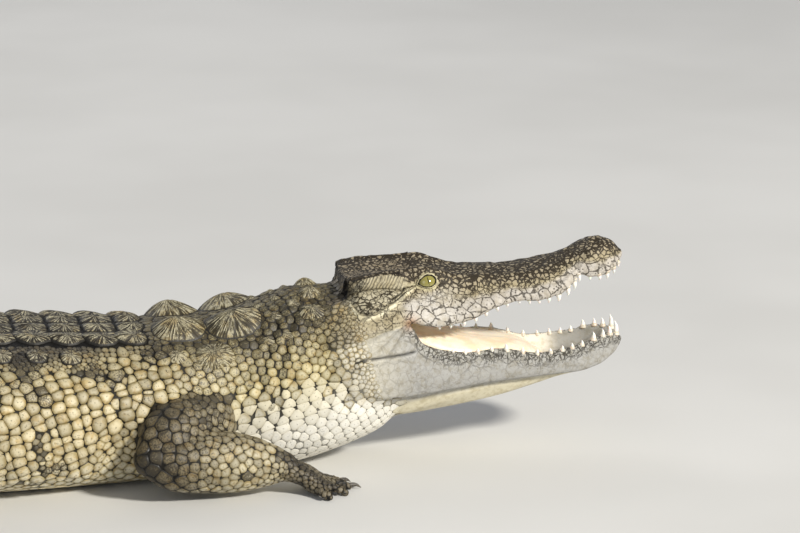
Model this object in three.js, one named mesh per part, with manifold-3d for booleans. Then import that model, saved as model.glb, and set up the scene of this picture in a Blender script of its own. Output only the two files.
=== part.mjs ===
// A life-size Nile crocodile of about 2.5 m that basks on its belly with its jaws apart, as a still model.
// Millimetres, +X towards the snout, +Y to the animal's left, +Z up. The floor is z = 0.
// The body is lofted from a few named profiles, and thin cuts part it into its nodes.
import * as THREE from "three";
import { mergeVertices } from "three/addons/utils/BufferGeometryUtils.js";
import Module from "manifold-3d";

const wasm = await Module();
wasm.setup();

// ---------------------------------------------------------------- driving dimensions
const SKULL_REAR_HEIGHT = 236; // the rear edge of the skull table, above the floor
const HEAD_PITCH_DEG = 11.5; // the jaw line's rise towards the snout
const GAPE_DEG = 13.5; // the lower jaw's drop below the upper one
const JAW_JOINT = new THREE.Vector3(-25, 0, -66); // in the head's frame, from the skull table's rear edge
const VENT = 930; // from the skull's rear edge back to the vent, where the tail starts
const TAIL_LENGTH = 1220;
const TAIL_END = VENT + TAIL_LENGTH;
const PART_GAP = 0.5; // the width of the cuts between neighbouring nodes
const RING_POINTS = 20; // round each ring of the body
const WIDEST_SHARE = 0.42; // the height of the widest point, as a share of the body's height
const EYE_RADIUS = 13.5;
const EYE_CENTRE = new THREE.Vector3(96.5, 37, -30); // the left eye, in the head's frame
const SURFACE_TOLERANCE = 0.22; // facets flatter than this are merged

const HIDE = { color: 0xb5a573, roughness: 0.75, metalness: 0 };
const DARK_HIDE = { color: 0x7d7355, roughness: 0.8, metalness: 0 };
const MOUTH = { color: 0xf0d9a8, roughness: 0.45, metalness: 0 };
const EYE = { color: 0xa3a33c, roughness: 0.12, metalness: 0 };

// ---------------------------------------------------------------- curves and solids

// A smooth curve through [place, value] pairs that never overshoots them.
function profile(...points) {
  const last = points.length - 1;
  const slope = (i) => (points[i + 1][1] - points[i][1]) / (points[i + 1][0] - points[i][0]);
  const tangents = points.map((_, i) => {
    if (i === 0) return slope(0);
    if (i === last) return slope(last - 1);
    const before = slope(i - 1);
    const after = slope(i);
    return before * after <= 0 ? 0 : (2 * before * after) / (before + after);
  });
  return (place) => {
    const x = THREE.MathUtils.clamp(place, points[0][0], points[last][0]);
    let i = 0;
    while (i < last - 1 && x > points[i + 1][0]) i += 1;
    const span = points[i + 1][0] - points[i][0];
    const t = (x - points[i][0]) / span;
    const rise = points[i + 1][1] - points[i][1];
    const bend = span * (tangents[i] * (1 - t) ** 2 * t - tangents[i + 1] * (1 - t) * t ** 2);
    return points[i][1] + rise * (3 - 2 * t) * t ** 2 + bend;
  };
}

const mix = THREE.MathUtils.lerp;

// The places from start to end at about the given step, both ends included.
function steps(start, end, step) {
  const count = Math.max(1, Math.round((end - start) / step));
  return Array.from({ length: count + 1 }, (_, i) => mix(start, end, i / count));
}

// A closed skin over rings of equally many points, with a fan over each end.
function loft(rings) {
  const size = rings[0].length;
  const centre = (ring) =>
    ring.reduce((sum, p) => sum.add(p), new THREE.Vector3()).divideScalar(size);
  const points = [...rings.flat(), centre(rings[0]), centre(rings.at(-1))];
  const faces = [];
  for (let r = 0; r + 1 < rings.length; r += 1) {
    for (let i = 0; i < size; i += 1) {
      const j = (i + 1) % size;
      const [a, b, c, d] = [r * size + i, r * size + j, (r + 1) * size + j, (r + 1) * size + i];
      faces.push(a, b, c, a, c, d);
    }
  }
  const end = (rings.length - 1) * size;
  const firstCentre = rings.length * size;
  for (let i = 0; i < size; i += 1) {
    const j = (i + 1) % size;
    faces.push(firstCentre, j, i, firstCentre + 1, end + i, end + j);
  }
  return new THREE.BufferGeometry().setFromPoints(points).setIndex(faces);
}

// A geometry as a manifold-3d solid with its faces pointing out.
function solid(geometry) {
  const bare = geometry.clone();
  bare.deleteAttribute("normal");
  bare.deleteAttribute("uv");
  const merged = mergeVertices(bare, 1e-3);
  const triVerts = new Uint32Array(merged.index.array);
  const vertProperties = new Float32Array(merged.attributes.position.array);
  const made = new wasm.Manifold(new wasm.Mesh({ numProp: 3, vertProperties, triVerts }));
  if (made.volume() > 0) return made;
  for (let i = 0; i < triVerts.length; i += 3) {
    [triVerts[i + 1], triVerts[i + 2]] = [triVerts[i + 2], triVerts[i + 1]];
  }
  return new wasm.Manifold(new wasm.Mesh({ numProp: 3, vertProperties, triVerts }));
}

const join = (solids) => solids.reduce((all, one) => all.add(one));
const moved = (shape, matrix) => shape.transform(matrix.elements);

// The largest body of a cut solid: the slivers that a cut leaves are dropped.
function largest(shape) {
  return shape.decompose().reduce((best, one) => (one.volume() > best.volume() ? one : best));
}

function mesh(name, shape, look) {
  const { vertProperties, triVerts } = largest(shape.asOriginal().simplify(SURFACE_TOLERANCE)).getMesh();
  const geometry = new THREE.BufferGeometry()
    .setAttribute("position", new THREE.BufferAttribute(new Float32Array(vertProperties), 3))
    .setIndex(new THREE.BufferAttribute(new Uint32Array(triVerts), 1));
  geometry.computeVertexNormals();
  const made = new THREE.Mesh(geometry, new THREE.MeshStandardMaterial(look));
  made.name = name;
  return made;
}

// A four-sided pointed scute whose tip leans back along -X, with its root sunk below z = 0.
function scute(length, thickness, height, lean) {
  const root = height * 0.35;
  const cone = new THREE.ConeGeometry(1, height + root, 4);
  const shear = new THREE.Matrix4().set(1, 0, -lean, 0, 0, 1, 0, 0, 0, 0, 1, 0, 0, 0, 0, 1);
  return cone
    .rotateX(Math.PI / 2)
    .translate(0, 0, (height - root) / 2)
    .scale(length / 2, thickness / 2, 1)
    .applyMatrix4(shear);
}

// A low dome over an oval footprint, with its root sunk below z = 0.
function boss(length, width, height) {
  return new THREE.SphereGeometry(1, 8, 4).rotateX(Math.PI / 2).scale(length / 2, width / 2, height);
}

// ---------------------------------------------------------------- neck, trunk and tail

// Places are distances back from the skull's rear edge.
const halfWidth = profile(
  [-70, 48], [-60, 62], [-40, 73], [-10, 81], [20, 87], [70, 91], [120, 97], [210, 120], [300, 143], [420, 163],
  [540, 170], [660, 164], [780, 138], [870, 112], [930, 95], [1080, 74], [1330, 47],
  [1570, 29], [1800, 17], [2000, 9], [2150, 3],
);
const backHeight = profile(
  [-70, 118], [-45, 185], [-30, 205], [20, 220], [60, 219], [100, 208], [150, 193], [210, 188], [300, 189], [420, 194],
  [540, 195], [660, 190], [780, 176], [870, 161], [930, 149], [1080, 128], [1330, 104],
  [1570, 84], [1800, 62], [2000, 40], [2150, 12],
);
const bellyHeight = profile(
  [-70, 74], [-60, 54], [-44, 38], [-15, 25], [15, 15], [50, 5], [85, -1], [130, -5], [200, -6],
  [880, -6], [960, -2], [1100, -3], [2150, -1],
);
// Superellipse exponents of the upper and lower half: 2 is an ellipse, and more is squarer.
const backRoundness = profile([-70, 2.1], [200, 2.2], [420, 2.4], [900, 2.5], [1200, 2.7], [1600, 2.2], [2150, 2]);
const bellyRoundness = profile([-70, 2.2], [0, 2.5], [150, 2.6], [300, 2.4], [880, 2.4], [1000, 2.8], [2150, 2.8]);
const tailHeadingDeg = profile([930, 0], [1150, 9], [1450, 27], [1750, 30], [1980, 12], [2150, -8]);

// The middle line on the floor plan: straight to the vent, then along the tail's bends.
const LINE_STEP = 10;
const middleLine = [{ x: -VENT, y: 0 }];
for (let s = VENT; s < TAIL_END; s += LINE_STEP) {
  const heading = THREE.MathUtils.degToRad(tailHeadingDeg(s + LINE_STEP / 2));
  const { x, y } = middleLine.at(-1);
  middleLine.push({ x: x - LINE_STEP * Math.cos(heading), y: y + LINE_STEP * Math.sin(heading) });
}

// The frame that carries (forward, left, up) to the body at a place on the middle line.
function bodyFrame(s) {
  if (s <= VENT) return new THREE.Matrix4().makeTranslation(-s, 0, 0);
  const place = Math.min((s - VENT) / LINE_STEP, middleLine.length - 1.001);
  const [a, b] = [middleLine[Math.floor(place)], middleLine[Math.floor(place) + 1]];
  const turn = -THREE.MathUtils.degToRad(tailHeadingDeg(s));
  const share = place % 1;
  return new THREE.Matrix4()
    .makeRotationZ(turn)
    .setPosition(mix(a.x, b.x, share), mix(a.y, b.y, share), 0);
}

const signedPower = (value, power) => Math.sign(value) * Math.abs(value) ** power;

// A point of the body's outline at place s: turn 0 is the mid-back, and it runs down the left side.
function bodyPoint(s, turn, grow = 0) {
  const low = bellyHeight(s) - grow;
  const top = backHeight(s) + grow;
  const waist = mix(low, top, WIDEST_SHARE);
  const up = Math.cos(turn);
  const roundness = up > 0 ? backRoundness(s) : bellyRoundness(s);
  const y = (halfWidth(s) + grow) * signedPower(Math.sin(turn), 2 / roundness);
  const z = waist + (up > 0 ? top - waist : waist - low) * signedPower(up, 2 / roundness);
  return new THREE.Vector3(0, y, Math.max(z, -grow)).applyMatrix4(bodyFrame(s));
}

function bodyRing(s, grow) {
  const ring = Array.from({ length: RING_POINTS }, (_, i) => (2 * Math.PI * i) / RING_POINTS);
  return ring.map((turn) => bodyPoint(s, turn, grow));
}

const bodyPlaces = [-70, -62, -45, ...steps(-20, 232, 36), ...steps(290, VENT, 80), ...steps(1000, TAIL_END, 72)];
const bodyLoft = (grow = 0) => solid(loft(bodyPlaces.map((s) => bodyRing(s, grow))));

// The raised plates of the nape: [place, side, length, width, height].
const NAPE_PLATES = [
  [44, 20, 26, 24, 9], [47, 48, 28, 24, 9],
  [140, 36, 68, 62, 22], [206, 36, 66, 60, 20], [170, 79, 50, 38, 12],
];

function napePlates(grow = 0) {
  const plates = NAPE_PLATES.flatMap(([s, side, length, width, height]) =>
    [side, -side].map((y) => {
      const turn = Math.asin(signedPower(y / halfWidth(s), backRoundness(s) / 2));
      const foot = bodyPoint(s, turn);
      const tilt = new THREE.Matrix4().makeRotationX(-Math.asin((0.8 * y) / halfWidth(s)));
      const plate = boss(length + 2 * grow, width + 2 * grow, height + grow);
      return solid(plate.applyMatrix4(tilt).translate(foot.x, foot.y, foot.z - 2));
    }),
  );
  return join(plates);
}

// The tail's crest: a double row of scutes that draws together, then a single row to the tip.
const SINGLE_CREST_FROM = 1560;
const crestHeight = profile([960, 6], [1150, 13], [1450, 24], [1560, 30], [1850, 32], [2050, 22], [2150, 9]);
const crestSpread = profile([960, 0.66], [1250, 0.6], [1560, 0.3]);
const crestStep = profile([960, 37], [1560, 34], [2150, 23]);

function tailCrest() {
  const scutes = [];
  for (let s = 975; s < TAIL_END - 14; s += crestStep(s)) {
    const height = crestHeight(s);
    const single = s >= SINGLE_CREST_FROM;
    const sides = single ? [0] : [crestSpread(s), -crestSpread(s)];
    for (const side of sides) {
      const turn = Math.asin(signedPower(side, backRoundness(s) / 2));
      const foot = bodyPoint(s, turn).applyMatrix4(bodyFrame(s).invert());
      const shape = scute(crestStep(s) * 0.94, single ? 9 : 11, height, 0.45);
      shape.rotateX(-side * 0.5).translate(0, foot.y, foot.z - 1);
      scutes.push(solid(shape.applyMatrix4(bodyFrame(s))));
    }
  }
  return join(scutes);
}

// ---------------------------------------------------------------- head

// The head's frame has its origin on the skull table's rear edge, +X along the jaw line to the snout.
const HEAD_PLACES = [
  -45, -8, 0, 20, 42, 62, 80, 97, 112, 137, 156, 178, 200, 220, 242, 262, 275, 287, 298, 312, 325, 336,
  344, 349,
];
const crownHeight = profile(
  [-45, -32], [-8, -20], [0, -2], [42, -8], [80, -15], [99, -18], [130, -27], [173, -36],
  [216, -44.5], [250, -45], [281, -40], [307, -35], [325, -37], [338, -46], [349, -58],
);
const tableHalfWidth = profile(
  [-45, 40], [-8, 46], [0, 49], [42, 44], [82, 40], [99, 42], [120, 36], [173, 34], [216, 33],
  [250, 30], [281, 23], [307, 25], [325, 22], [338, 13], [349, 4],
);
const tableHeight = profile(
  [-45, -34], [-8, -16], [0, 0], [42, -3], [82, -9], [99, -11], [118, -21], [140, -32],
  [173, -41], [216, -49], [250, -50], [281, -47], [307, -41], [325, -43], [338, -51], [349, -60],
);
const templeHalfWidth = profile(
  [-45, 60], [0, 53], [42, 53], [82, 48], [99, 51], [120, 46], [173, 43], [216, 41], [250, 41],
  [281, 32], [307, 33], [325, 28], [338, 17], [349, 5],
);
const templeHeight = profile(
  [-45, -40], [0, -20], [42, -21], [82, -26], [99, -30], [120, -40], [173, -51], [216, -57],
  [250, -59], [281, -56], [307, -51], [325, -53], [338, -58], [349, -62],
);
const lipHalfWidth = profile(
  [-45, 84], [-10, 90], [30, 88], [59, 84], [99, 76], [137, 68], [178, 58.5], [200, 54], [232, 52.5],
  [255, 49], [275, 40.5], [287, 34.5], [299, 36.5], [315, 36], [329, 28], [338, 19], [349, 6],
);
const lipHeight = profile(
  [-45, -70], [0, -66], [59, -62], [80, -71], [97, -78], [137, -81], [178, -75.5], [200, -76],
  [232, -82.5], [255, -82], [275, -74.5], [287, -68], [299, -73.5], [315, -75], [330, -74.5],
  [340, -71], [349, -66],
);
const palateRise = profile([-45, 0], [55, 1], [80, 10], [250, 11], [330, 5], [349, 1]);

// Half of the head's outline at place x, from the crown down to the lip and in to the palate.
function headHalf(x) {
  const [lip, bottom] = [lipHalfWidth(x), lipHeight(x)];
  const [table, brow] = [tableHalfWidth(x), tableHeight(x)];
  const [temple, side] = [templeHalfWidth(x), templeHeight(x)];
  const crown = crownHeight(x);
  const inner = lip * 0.84;
  return [
    [0, crown], [table * 0.55, mix(crown, brow, 0.45)], [table, brow], [temple, side],
    [mix(temple, lip, 0.45), mix(side, bottom, 0.32)], [mix(temple, lip, 0.86), mix(side, bottom, 0.62)],
    [lip, mix(side, bottom, 0.84)], [lip * 0.97, bottom], [inner, bottom + 1],
    [lip * 0.6, bottom + palateRise(x)], [0, bottom + palateRise(x) * 1.3],
  ];
}

// The lower jaw's frame has its origin at the jaw joint, +X along the tooth row.
const JAW_PLACES = [
  -42, -10, 30, 66, 80, 92, 104, 125, 150, 180, 212, 233, 254, 280, 308, 328, 344, 356, 363.5, 367.5,
];
const jawHalfWidth = profile(
  [-42, 66], [0, 84], [40, 87], [80, 82], [103, 76], [130, 71], [162, 64], [202, 56], [254, 48],
  [279, 44], [312, 37], [338, 28], [354, 18], [362, 11], [367.5, 4],
);
const rimHeight = profile(
  [-42, -8], [0, 4], [25, 9], [60, 20], [80, 21], [103, -5.6], [130, -15.7], [162, -20.7],
  [202, -18.4], [254, -26], [279, -23.5], [312, -17.5], [334, -9], [352, -8], [362, -12], [367.5, -18],
);
const floorHeight = profile(
  [-42, -8], [60, 18], [80, 12], [103, -20], [162, -36], [254, -42], [312, -34], [338, -20], [352, -12], [362, -14], [367.5, -19],
);
const mandibleHeight = profile(
  [-42, -62], [0, -76], [60, -80], [100, -76], [139, -70], [204, -62.6], [269, -57.5], [308, -55],
  [334, -49], [352, -39], [362, -30], [367.5, -20],
);
const gularHeight = profile(
  [-42, -100], [20, -113], [70, -111], [148, -101], [211, -89], [255, -75], [290, -62], [334, -51],
  [352, -40], [362, -31], [367.5, -21],
);

// Half of the lower jaw's outline at place x, from the mouth's floor over the rim and down to the throat.
function jawHalf(x) {
  const [wide, rim, floor] = [jawHalfWidth(x), rimHeight(x), floorHeight(x)];
  const [edge, gular] = [mandibleHeight(x), gularHeight(x)];
  return [
    [0, floor], [wide * 0.58, floor], [wide * 0.8, mix(floor, rim, 0.6)], [wide * 0.88, rim],
    [wide * 0.97, rim - 1], [wide, mix(rim, edge, 0.2)], [wide * 1.0, mix(rim, edge, 0.55)],
    [wide * 0.93, mix(rim, edge, 0.9)], [wide * 0.78, edge], [wide * 0.5, mix(edge, gular, 0.8)], [0, gular],
  ];
}

// The tongue lies along the lower jaw and has no free tip.
const TONGUE_PLACES = [84, 92, 108, 130, 155, 182, 210, 236, 254, 266];
const tongueHalfWidth = profile([84, 34], [95, 52], [130, 57], [162, 53], [210, 43], [240, 33], [266, 12]);
const tongueTop = profile([84, 4], [95, 7], [130, -3], [177, -11.5], [228, -17], [266, -33]);

function tongueHalf(x) {
  const [wide, top, floor] = [tongueHalfWidth(x), tongueTop(x), floorHeight(x)];
  return [[0, top], [wide * 0.6, top - 2], [wide * 0.92, mix(top, floor, 0.3)], [wide, mix(top, floor, 0.7)], [wide * 0.9, floor - 4], [0, floor - 4]];
}

// A loft of mirrored half outlines, grown outwards from each ring's middle.
function outlineLoft(places, half, grow = 0) {
  const rings = places.map((x) => {
    const right = half(x);
    const left = right.slice(1, -1).reverse().map(([y, z]) => [-y, z]);
    const outline = [...right, ...left].map(([y, z]) => new THREE.Vector3(0, y, z));
    const middle = outline.reduce((sum, p) => sum.add(p), new THREE.Vector3()).divideScalar(outline.length);
    return outline.map((p) => {
      const out = p.clone().sub(middle);
      return p.addScaledVector(out.normalize(), grow).setX(x);
    });
  });
  if (grow > 0) {
    rings[0].forEach((p) => p.setX(p.x - grow));
    rings.at(-1).forEach((p) => p.setX(p.x + grow));
  }
  return solid(loft(rings));
}

// Teeth: [place, length, radius]. The large ones are the ones that show when the jaws are shut.
const UPPER_TEETH = [
  [339, 5, 2.1], [331, 6, 2.3], [321, 8, 2.9], [310, 7, 2.9], [299, 5, 2.2],
  [285, 10, 2.6], [277, 12, 3], [267, 12, 3.2], [254, 12, 3.4], [241, 8, 2.9], [228, 6, 2.5], [216, 6, 2.5],
  [203, 6, 2.5], [188, 6, 2.7], [174, 7, 3], [159, 7, 3], [144, 7, 3], [129, 8, 3.2], [112, 6, 2.8], [97, 5, 2.6],
];
const LOWER_TEETH = [
  [357, 15, 2.9], [348, 9, 2.5], [338, 8, 2.4], [325, 9, 2.9], [310, 7, 2.4], [297, 7, 2.4], [284, 7, 2.4],
  [269, 6, 2.4], [251, 6, 2.4], [232, 7, 2.6], [211, 9, 3.1], [192, 7, 2.8], [174, 7, 2.8], [157, 6, 2.7], [141, 6, 2.6],
];

// One row of teeth on each side: side and height give a tooth's root, and up is 1 or -1.
function toothRow(teeth, side, height, up) {
  const cones = teeth.flatMap(([x, length, radius]) =>
    [1, -1].map((hand) => {
      const root = length * 0.5;
      const cone = new THREE.ConeGeometry(radius, length + root, 4);
      cone.rotateX((up * Math.PI) / 2).translate(0, 0, (up * (length - root)) / 2);
      return solid(cone.translate(x, hand * side(x), height(x)));
    }),
  );
  return join(cones);
}

const upperTeeth = toothRow(UPPER_TEETH, (x) => lipHalfWidth(x) * 0.89, (x) => lipHeight(x) + 1, -1);
const lowerTeeth = toothRow(LOWER_TEETH, (x) => jawHalfWidth(x) * 0.91, (x) => rimHeight(x) - 1, 1);

function eyeBall(hand, grow = 0) {
  const ball = new THREE.SphereGeometry(EYE_RADIUS + grow, 10, 7);
  return solid(ball.translate(EYE_CENTRE.x, hand * EYE_CENTRE.y, EYE_CENTRE.z));
}

// ---------------------------------------------------------------- legs

// A tapering limb along a smooth path. Each girth is [share of the path, half width, half thickness].
function limb({ path, girths }, { grow = 0, sides = 10, segments = 5 } = {}) {
  const curve = new THREE.CatmullRomCurve3(path.map((p) => new THREE.Vector3(...p)));
  const widths = profile(...girths.map(([share, wide]) => [share, wide]));
  const depths = profile(...girths.map(([share, , deep]) => [share, deep]));
  const rings = steps(0, 1, 1 / segments).map((share) => {
    const centre = curve.getPointAt(share);
    const along = curve.getTangentAt(share);
    const across = new THREE.Vector3(0, 0, 1).cross(along).normalize();
    const up = along.clone().cross(across);
    return Array.from({ length: sides }, (_, i) => {
      const turn = (2 * Math.PI * (i + 0.5)) / sides;
      return centre
        .clone()
        .addScaledVector(across, (widths(share) + grow) * Math.cos(turn))
        .addScaledVector(up, (depths(share) + grow) * Math.sin(turn));
    });
  });
  return solid(loft(rings));
}

// The right legs. A toe runs on the floor plan from its root to its tip, and claw 0 means none.
const FORE_LEG = {
  upper: {
    path: [[-180, -88, 80], [-218, -124, 82], [-258, -158, 72]],
    girths: [[0, 42, 42], [0.5, 38, 38], [0.85, 32, 32], [1, 20, 20]],
  },
  lower: {
    path: [[-266, -163, 60], [-215, -156, 47], [-160, -151, 44], [-86, -147, 33]],
    girths: [[0, 22, 22], [0.2, 34, 35], [0.55, 35, 38], [0.72, 31, 34], [0.88, 24, 25], [1, 17, 16]],
  },
  palm: {
    path: [[-100, -148, 32], [-72, -147, 23], [-44, -146, 8.2]],
    girths: [[0, 17, 15], [0.5, 26, 14], [1, 29, 9]],
  },
  toes: [
    { root: [-64, -128], tip: [-44, -106], radius: 7.5, claw: 13 },
    { root: [-54, -138], tip: [-22, -126], radius: 8, claw: 14 },
    { root: [-52, -148], tip: [-14, -147], radius: 8, claw: 14 },
    { root: [-56, -158], tip: [-22, -171], radius: 7.5, claw: 0 },
    { root: [-64, -168], tip: [-44, -190], radius: 7, claw: 0 },
  ],
  webReach: 0.3,
};
const HIND_LEG = {
  upper: {
    path: [[-878, -58, 92], [-822, -128, 98], [-768, -186, 88]],
    girths: [[0, 56, 56], [0.45, 52, 54], [0.85, 36, 38], [1, 22, 24]],
  },
  lower: {
    path: [[-756, -190, 78], [-828, -196, 62], [-902, -196, 30]],
    girths: [[0, 24, 24], [0.2, 36, 34], [0.5, 32, 31], [0.85, 21, 20], [1, 16, 16]],
  },
  palm: {
    path: [[-912, -197, 26], [-868, -224, 18], [-826, -252, 8.2]],
    girths: [[0, 20, 18], [0.35, 25, 16], [1, 33, 9]],
  },
  toes: [
    { root: [-832, -234], tip: [-782, -236], radius: 8, claw: 15 },
    { root: [-826, -246], tip: [-764, -260], radius: 8.5, claw: 16 },
    { root: [-828, -259], tip: [-766, -288], radius: 8.5, claw: 16 },
    { root: [-838, -270], tip: [-790, -308], radius: 7.5, claw: 0 },
  ],
  webReach: 0.72,
};
const TOE_ROOT_HEIGHT = 10;
const WEB_THICKNESS = 4;
const LEFT_FORE_SWING_DEG = 7; // the left legs mirror the right ones, and swing about the hip and shoulder
const LEFT_HIND_SWING_DEG = -10;

// A leg's left twin, swung forwards or backwards about the leg's root.
function leftLeg({ upper, lower, palm, toes, webReach }, swingDeg) {
  const [rootX, rootY] = upper.path[0];
  const hip = new THREE.Vector2(rootX, -rootY);
  const place = ([x, y, ...rest]) => {
    const p = new THREE.Vector2(x, -y).rotateAround(hip, -THREE.MathUtils.degToRad(swingDeg));
    return [p.x, p.y, ...rest];
  };
  const limbOf = ({ path, girths }) => ({ path: path.map(place), girths });
  const toesOf = toes.map((toe) => ({ ...toe, root: place(toe.root), tip: place(toe.tip) }));
  return { upper: limbOf(upper), lower: limbOf(lower), palm: limbOf(palm), toes: toesOf, webReach };
}

function toeSolid({ root, tip, radius, claw }) {
  const [start, end] = [new THREE.Vector3(...root, TOE_ROOT_HEIGHT), new THREE.Vector3(...tip, radius * 0.4)];
  const back = start.clone().lerp(end, -0.25);
  const knuckle = start.clone().lerp(end, 0.5).setZ(radius + 2);
  const path = [back, knuckle, end].map((p) => p.toArray());
  const girths = [[0, radius, radius], [0.6, radius * 0.95, radius], [1, radius * 0.55, radius * 0.5]];
  const digit = limb({ path, girths }, { sides: 6, segments: 2 });
  if (!claw) return digit;
  const ahead = end.clone().sub(start).setZ(0).normalize();
  const hook = [[-5, end.z + 1.5], [claw * 0.5, end.z + 2.5], [claw, 1.6]].map(([reach, height]) =>
    end.clone().addScaledVector(ahead, reach).setZ(height).toArray(),
  );
  const nail = limb({ path: hook, girths: [[0, 3.6, 4], [1, 0.7, 0.9]] }, { sides: 4, segments: 2 });
  return digit.add(nail);
}

// The skin between the toes, which reaches webReach of their length and dips between them.
function webSolid({ toes, webReach }) {
  const along = ({ root, tip }, share) => new THREE.Vector2(...root).lerp(new THREE.Vector2(...tip), share);
  const front = toes.flatMap((toe, i) => {
    const edge = along(toe, webReach);
    if (i === 0) return [edge];
    const dip = along(toes[i - 1], webReach * 0.6).lerp(along(toe, webReach * 0.6), 0.5);
    return [dip, edge];
  });
  const back = toes.map((toe) => along(toe, -0.2)).reverse();
  const outline = new THREE.Shape([...front, ...back]);
  const sheet = new THREE.ExtrudeGeometry(outline, { depth: WEB_THICKNESS, bevelEnabled: false });
  return solid(sheet.translate(0, 0, 1));
}

// A leg's three nodes, each cut clear of the one before it and flat on the floor.
function legSolids(leg, bodyCut) {
  const underFloor = solid(new THREE.BoxGeometry(4000, 4000, 100).translate(-700, 0, -50));
  const [upper, lower] = [leg.upper, leg.lower].map((part) => limb(part));
  const foot = join([limb(leg.palm, { sides: 8, segments: 3 }), webSolid(leg), ...leg.toes.map(toeSolid)]);
  const [upperCut, lowerCut] = [leg.upper, leg.lower].map((part) => limb(part, { grow: PART_GAP }));
  const pieces = [upper, lower.subtract(upperCut), foot.subtract(lowerCut).subtract(upperCut)];
  return pieces.map((piece) => piece.subtract(bodyCut).subtract(underFloor));
}

// ---------------------------------------------------------------- assembly

const crocodile = new THREE.Group();
const body = new THREE.Group();
crocodile.add(body);

const head = new THREE.Group();
head.position.set(0, 0, SKULL_REAR_HEIGHT);
head.rotation.y = -THREE.MathUtils.degToRad(HEAD_PITCH_DEG);
body.add(head);

const jaw = new THREE.Group();
jaw.position.copy(JAW_JOINT);
jaw.rotation.y = THREE.MathUtils.degToRad(GAPE_DEG);
head.add(jaw);
body.updateMatrixWorld(true);

const eyeCuts = eyeBall(1, PART_GAP).add(eyeBall(-1, PART_GAP));
const skull = outlineLoft(HEAD_PLACES, headHalf);
const skullCut = outlineLoft(HEAD_PLACES, headHalf, PART_GAP);
head.add(mesh("head", skull.add(upperTeeth).subtract(eyeCuts), HIDE));
head.add(mesh("eye_left", eyeBall(1), EYE));
head.add(mesh("eye_right", eyeBall(-1), EYE));

const mandible = outlineLoft(JAW_PLACES, jawHalf);
const mandibleCut = outlineLoft(JAW_PLACES, jawHalf, PART_GAP);
const skullInJaw = moved(skullCut, jaw.matrix.clone().invert());
const tongueCut = outlineLoft(TONGUE_PLACES, tongueHalf, PART_GAP);
const toothedJaw = mandible.add(lowerTeeth).subtract(tongueCut);
jaw.add(mesh("lower_jaw", toothedJaw.subtract(skullInJaw), HIDE));
jaw.add(mesh("tongue", outlineLoft(TONGUE_PLACES, tongueHalf).subtract(skullInJaw), MOUTH));

const headCut = moved(skullCut, head.matrixWorld).add(moved(mandibleCut, jaw.matrixWorld));
const bodyWhole = join([bodyLoft(), napePlates(), tailCrest()]).subtract(headCut);
const bodyCut = join([bodyLoft(PART_GAP), napePlates(2 * PART_GAP), headCut]);

// Straight cuts across the middle line: [name, from, to, look].
const LENGTHS = [
  ["neck", -60, 232, DARK_HIDE],
  ["trunk", 232, VENT, DARK_HIDE],
  ["tail_base", VENT, 1330, DARK_HIDE],
  ["tail_middle", 1330, 1740, DARK_HIDE],
  ["tail_tip", 1740, TAIL_END + 60, DARK_HIDE],
];
for (const [name, from, to, look] of LENGTHS) {
  const slab = (s, keepBehind) => {
    const block = new THREE.BoxGeometry(3000, 3000, 1200);
    block.translate(keepBehind ? 1500 - PART_GAP / 2 : -1500 + PART_GAP / 2, 0, 200);
    return solid(block.applyMatrix4(bodyFrame(Math.min(s, TAIL_END))));
  };
  let piece = bodyWhole;
  if (from > -60) piece = piece.subtract(slab(from, true));
  if (to < TAIL_END) piece = piece.subtract(slab(to, false));
  body.add(mesh(name, piece, look));
}

for (const [leg, side, names] of [
  [FORE_LEG, "right", ["upper_arm", "forearm", "fore_foot"]],
  [leftLeg(FORE_LEG, LEFT_FORE_SWING_DEG), "left", ["upper_arm", "forearm", "fore_foot"]],
  [HIND_LEG, "right", ["thigh", "shank", "hind_foot"]],
  [leftLeg(HIND_LEG, LEFT_HIND_SWING_DEG), "left", ["thigh", "shank", "hind_foot"]],
]) {
  legSolids(leg, bodyCut).forEach((shape, i) => body.add(mesh(`${names[i]}_${side}`, shape, HIDE)));
}

// The part's origin is on the floor, at the middle of its length and width.
const bounds = new THREE.Box3().setFromObject(crocodile);
const centre = bounds.getCenter(new THREE.Vector3());
body.position.set(-centre.x, -centre.y, -bounds.min.z);

export default crocodile;
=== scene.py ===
"""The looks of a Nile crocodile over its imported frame: one skin, with scales, scutes, lids, teeth and claws.

Shapes are worked out in millimetres in the body's frame, whose origin is under the skull table's rear
edge, with +X towards the snout and +Z up. Meshes are moved into the row's frame, in metres, when made.
"""
import math

import bmesh
import bpy
import numpy as np
from mathutils import Matrix, Vector
from mathutils.bvhtree import BVHTree
from mathutils.kdtree import KDTree


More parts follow.
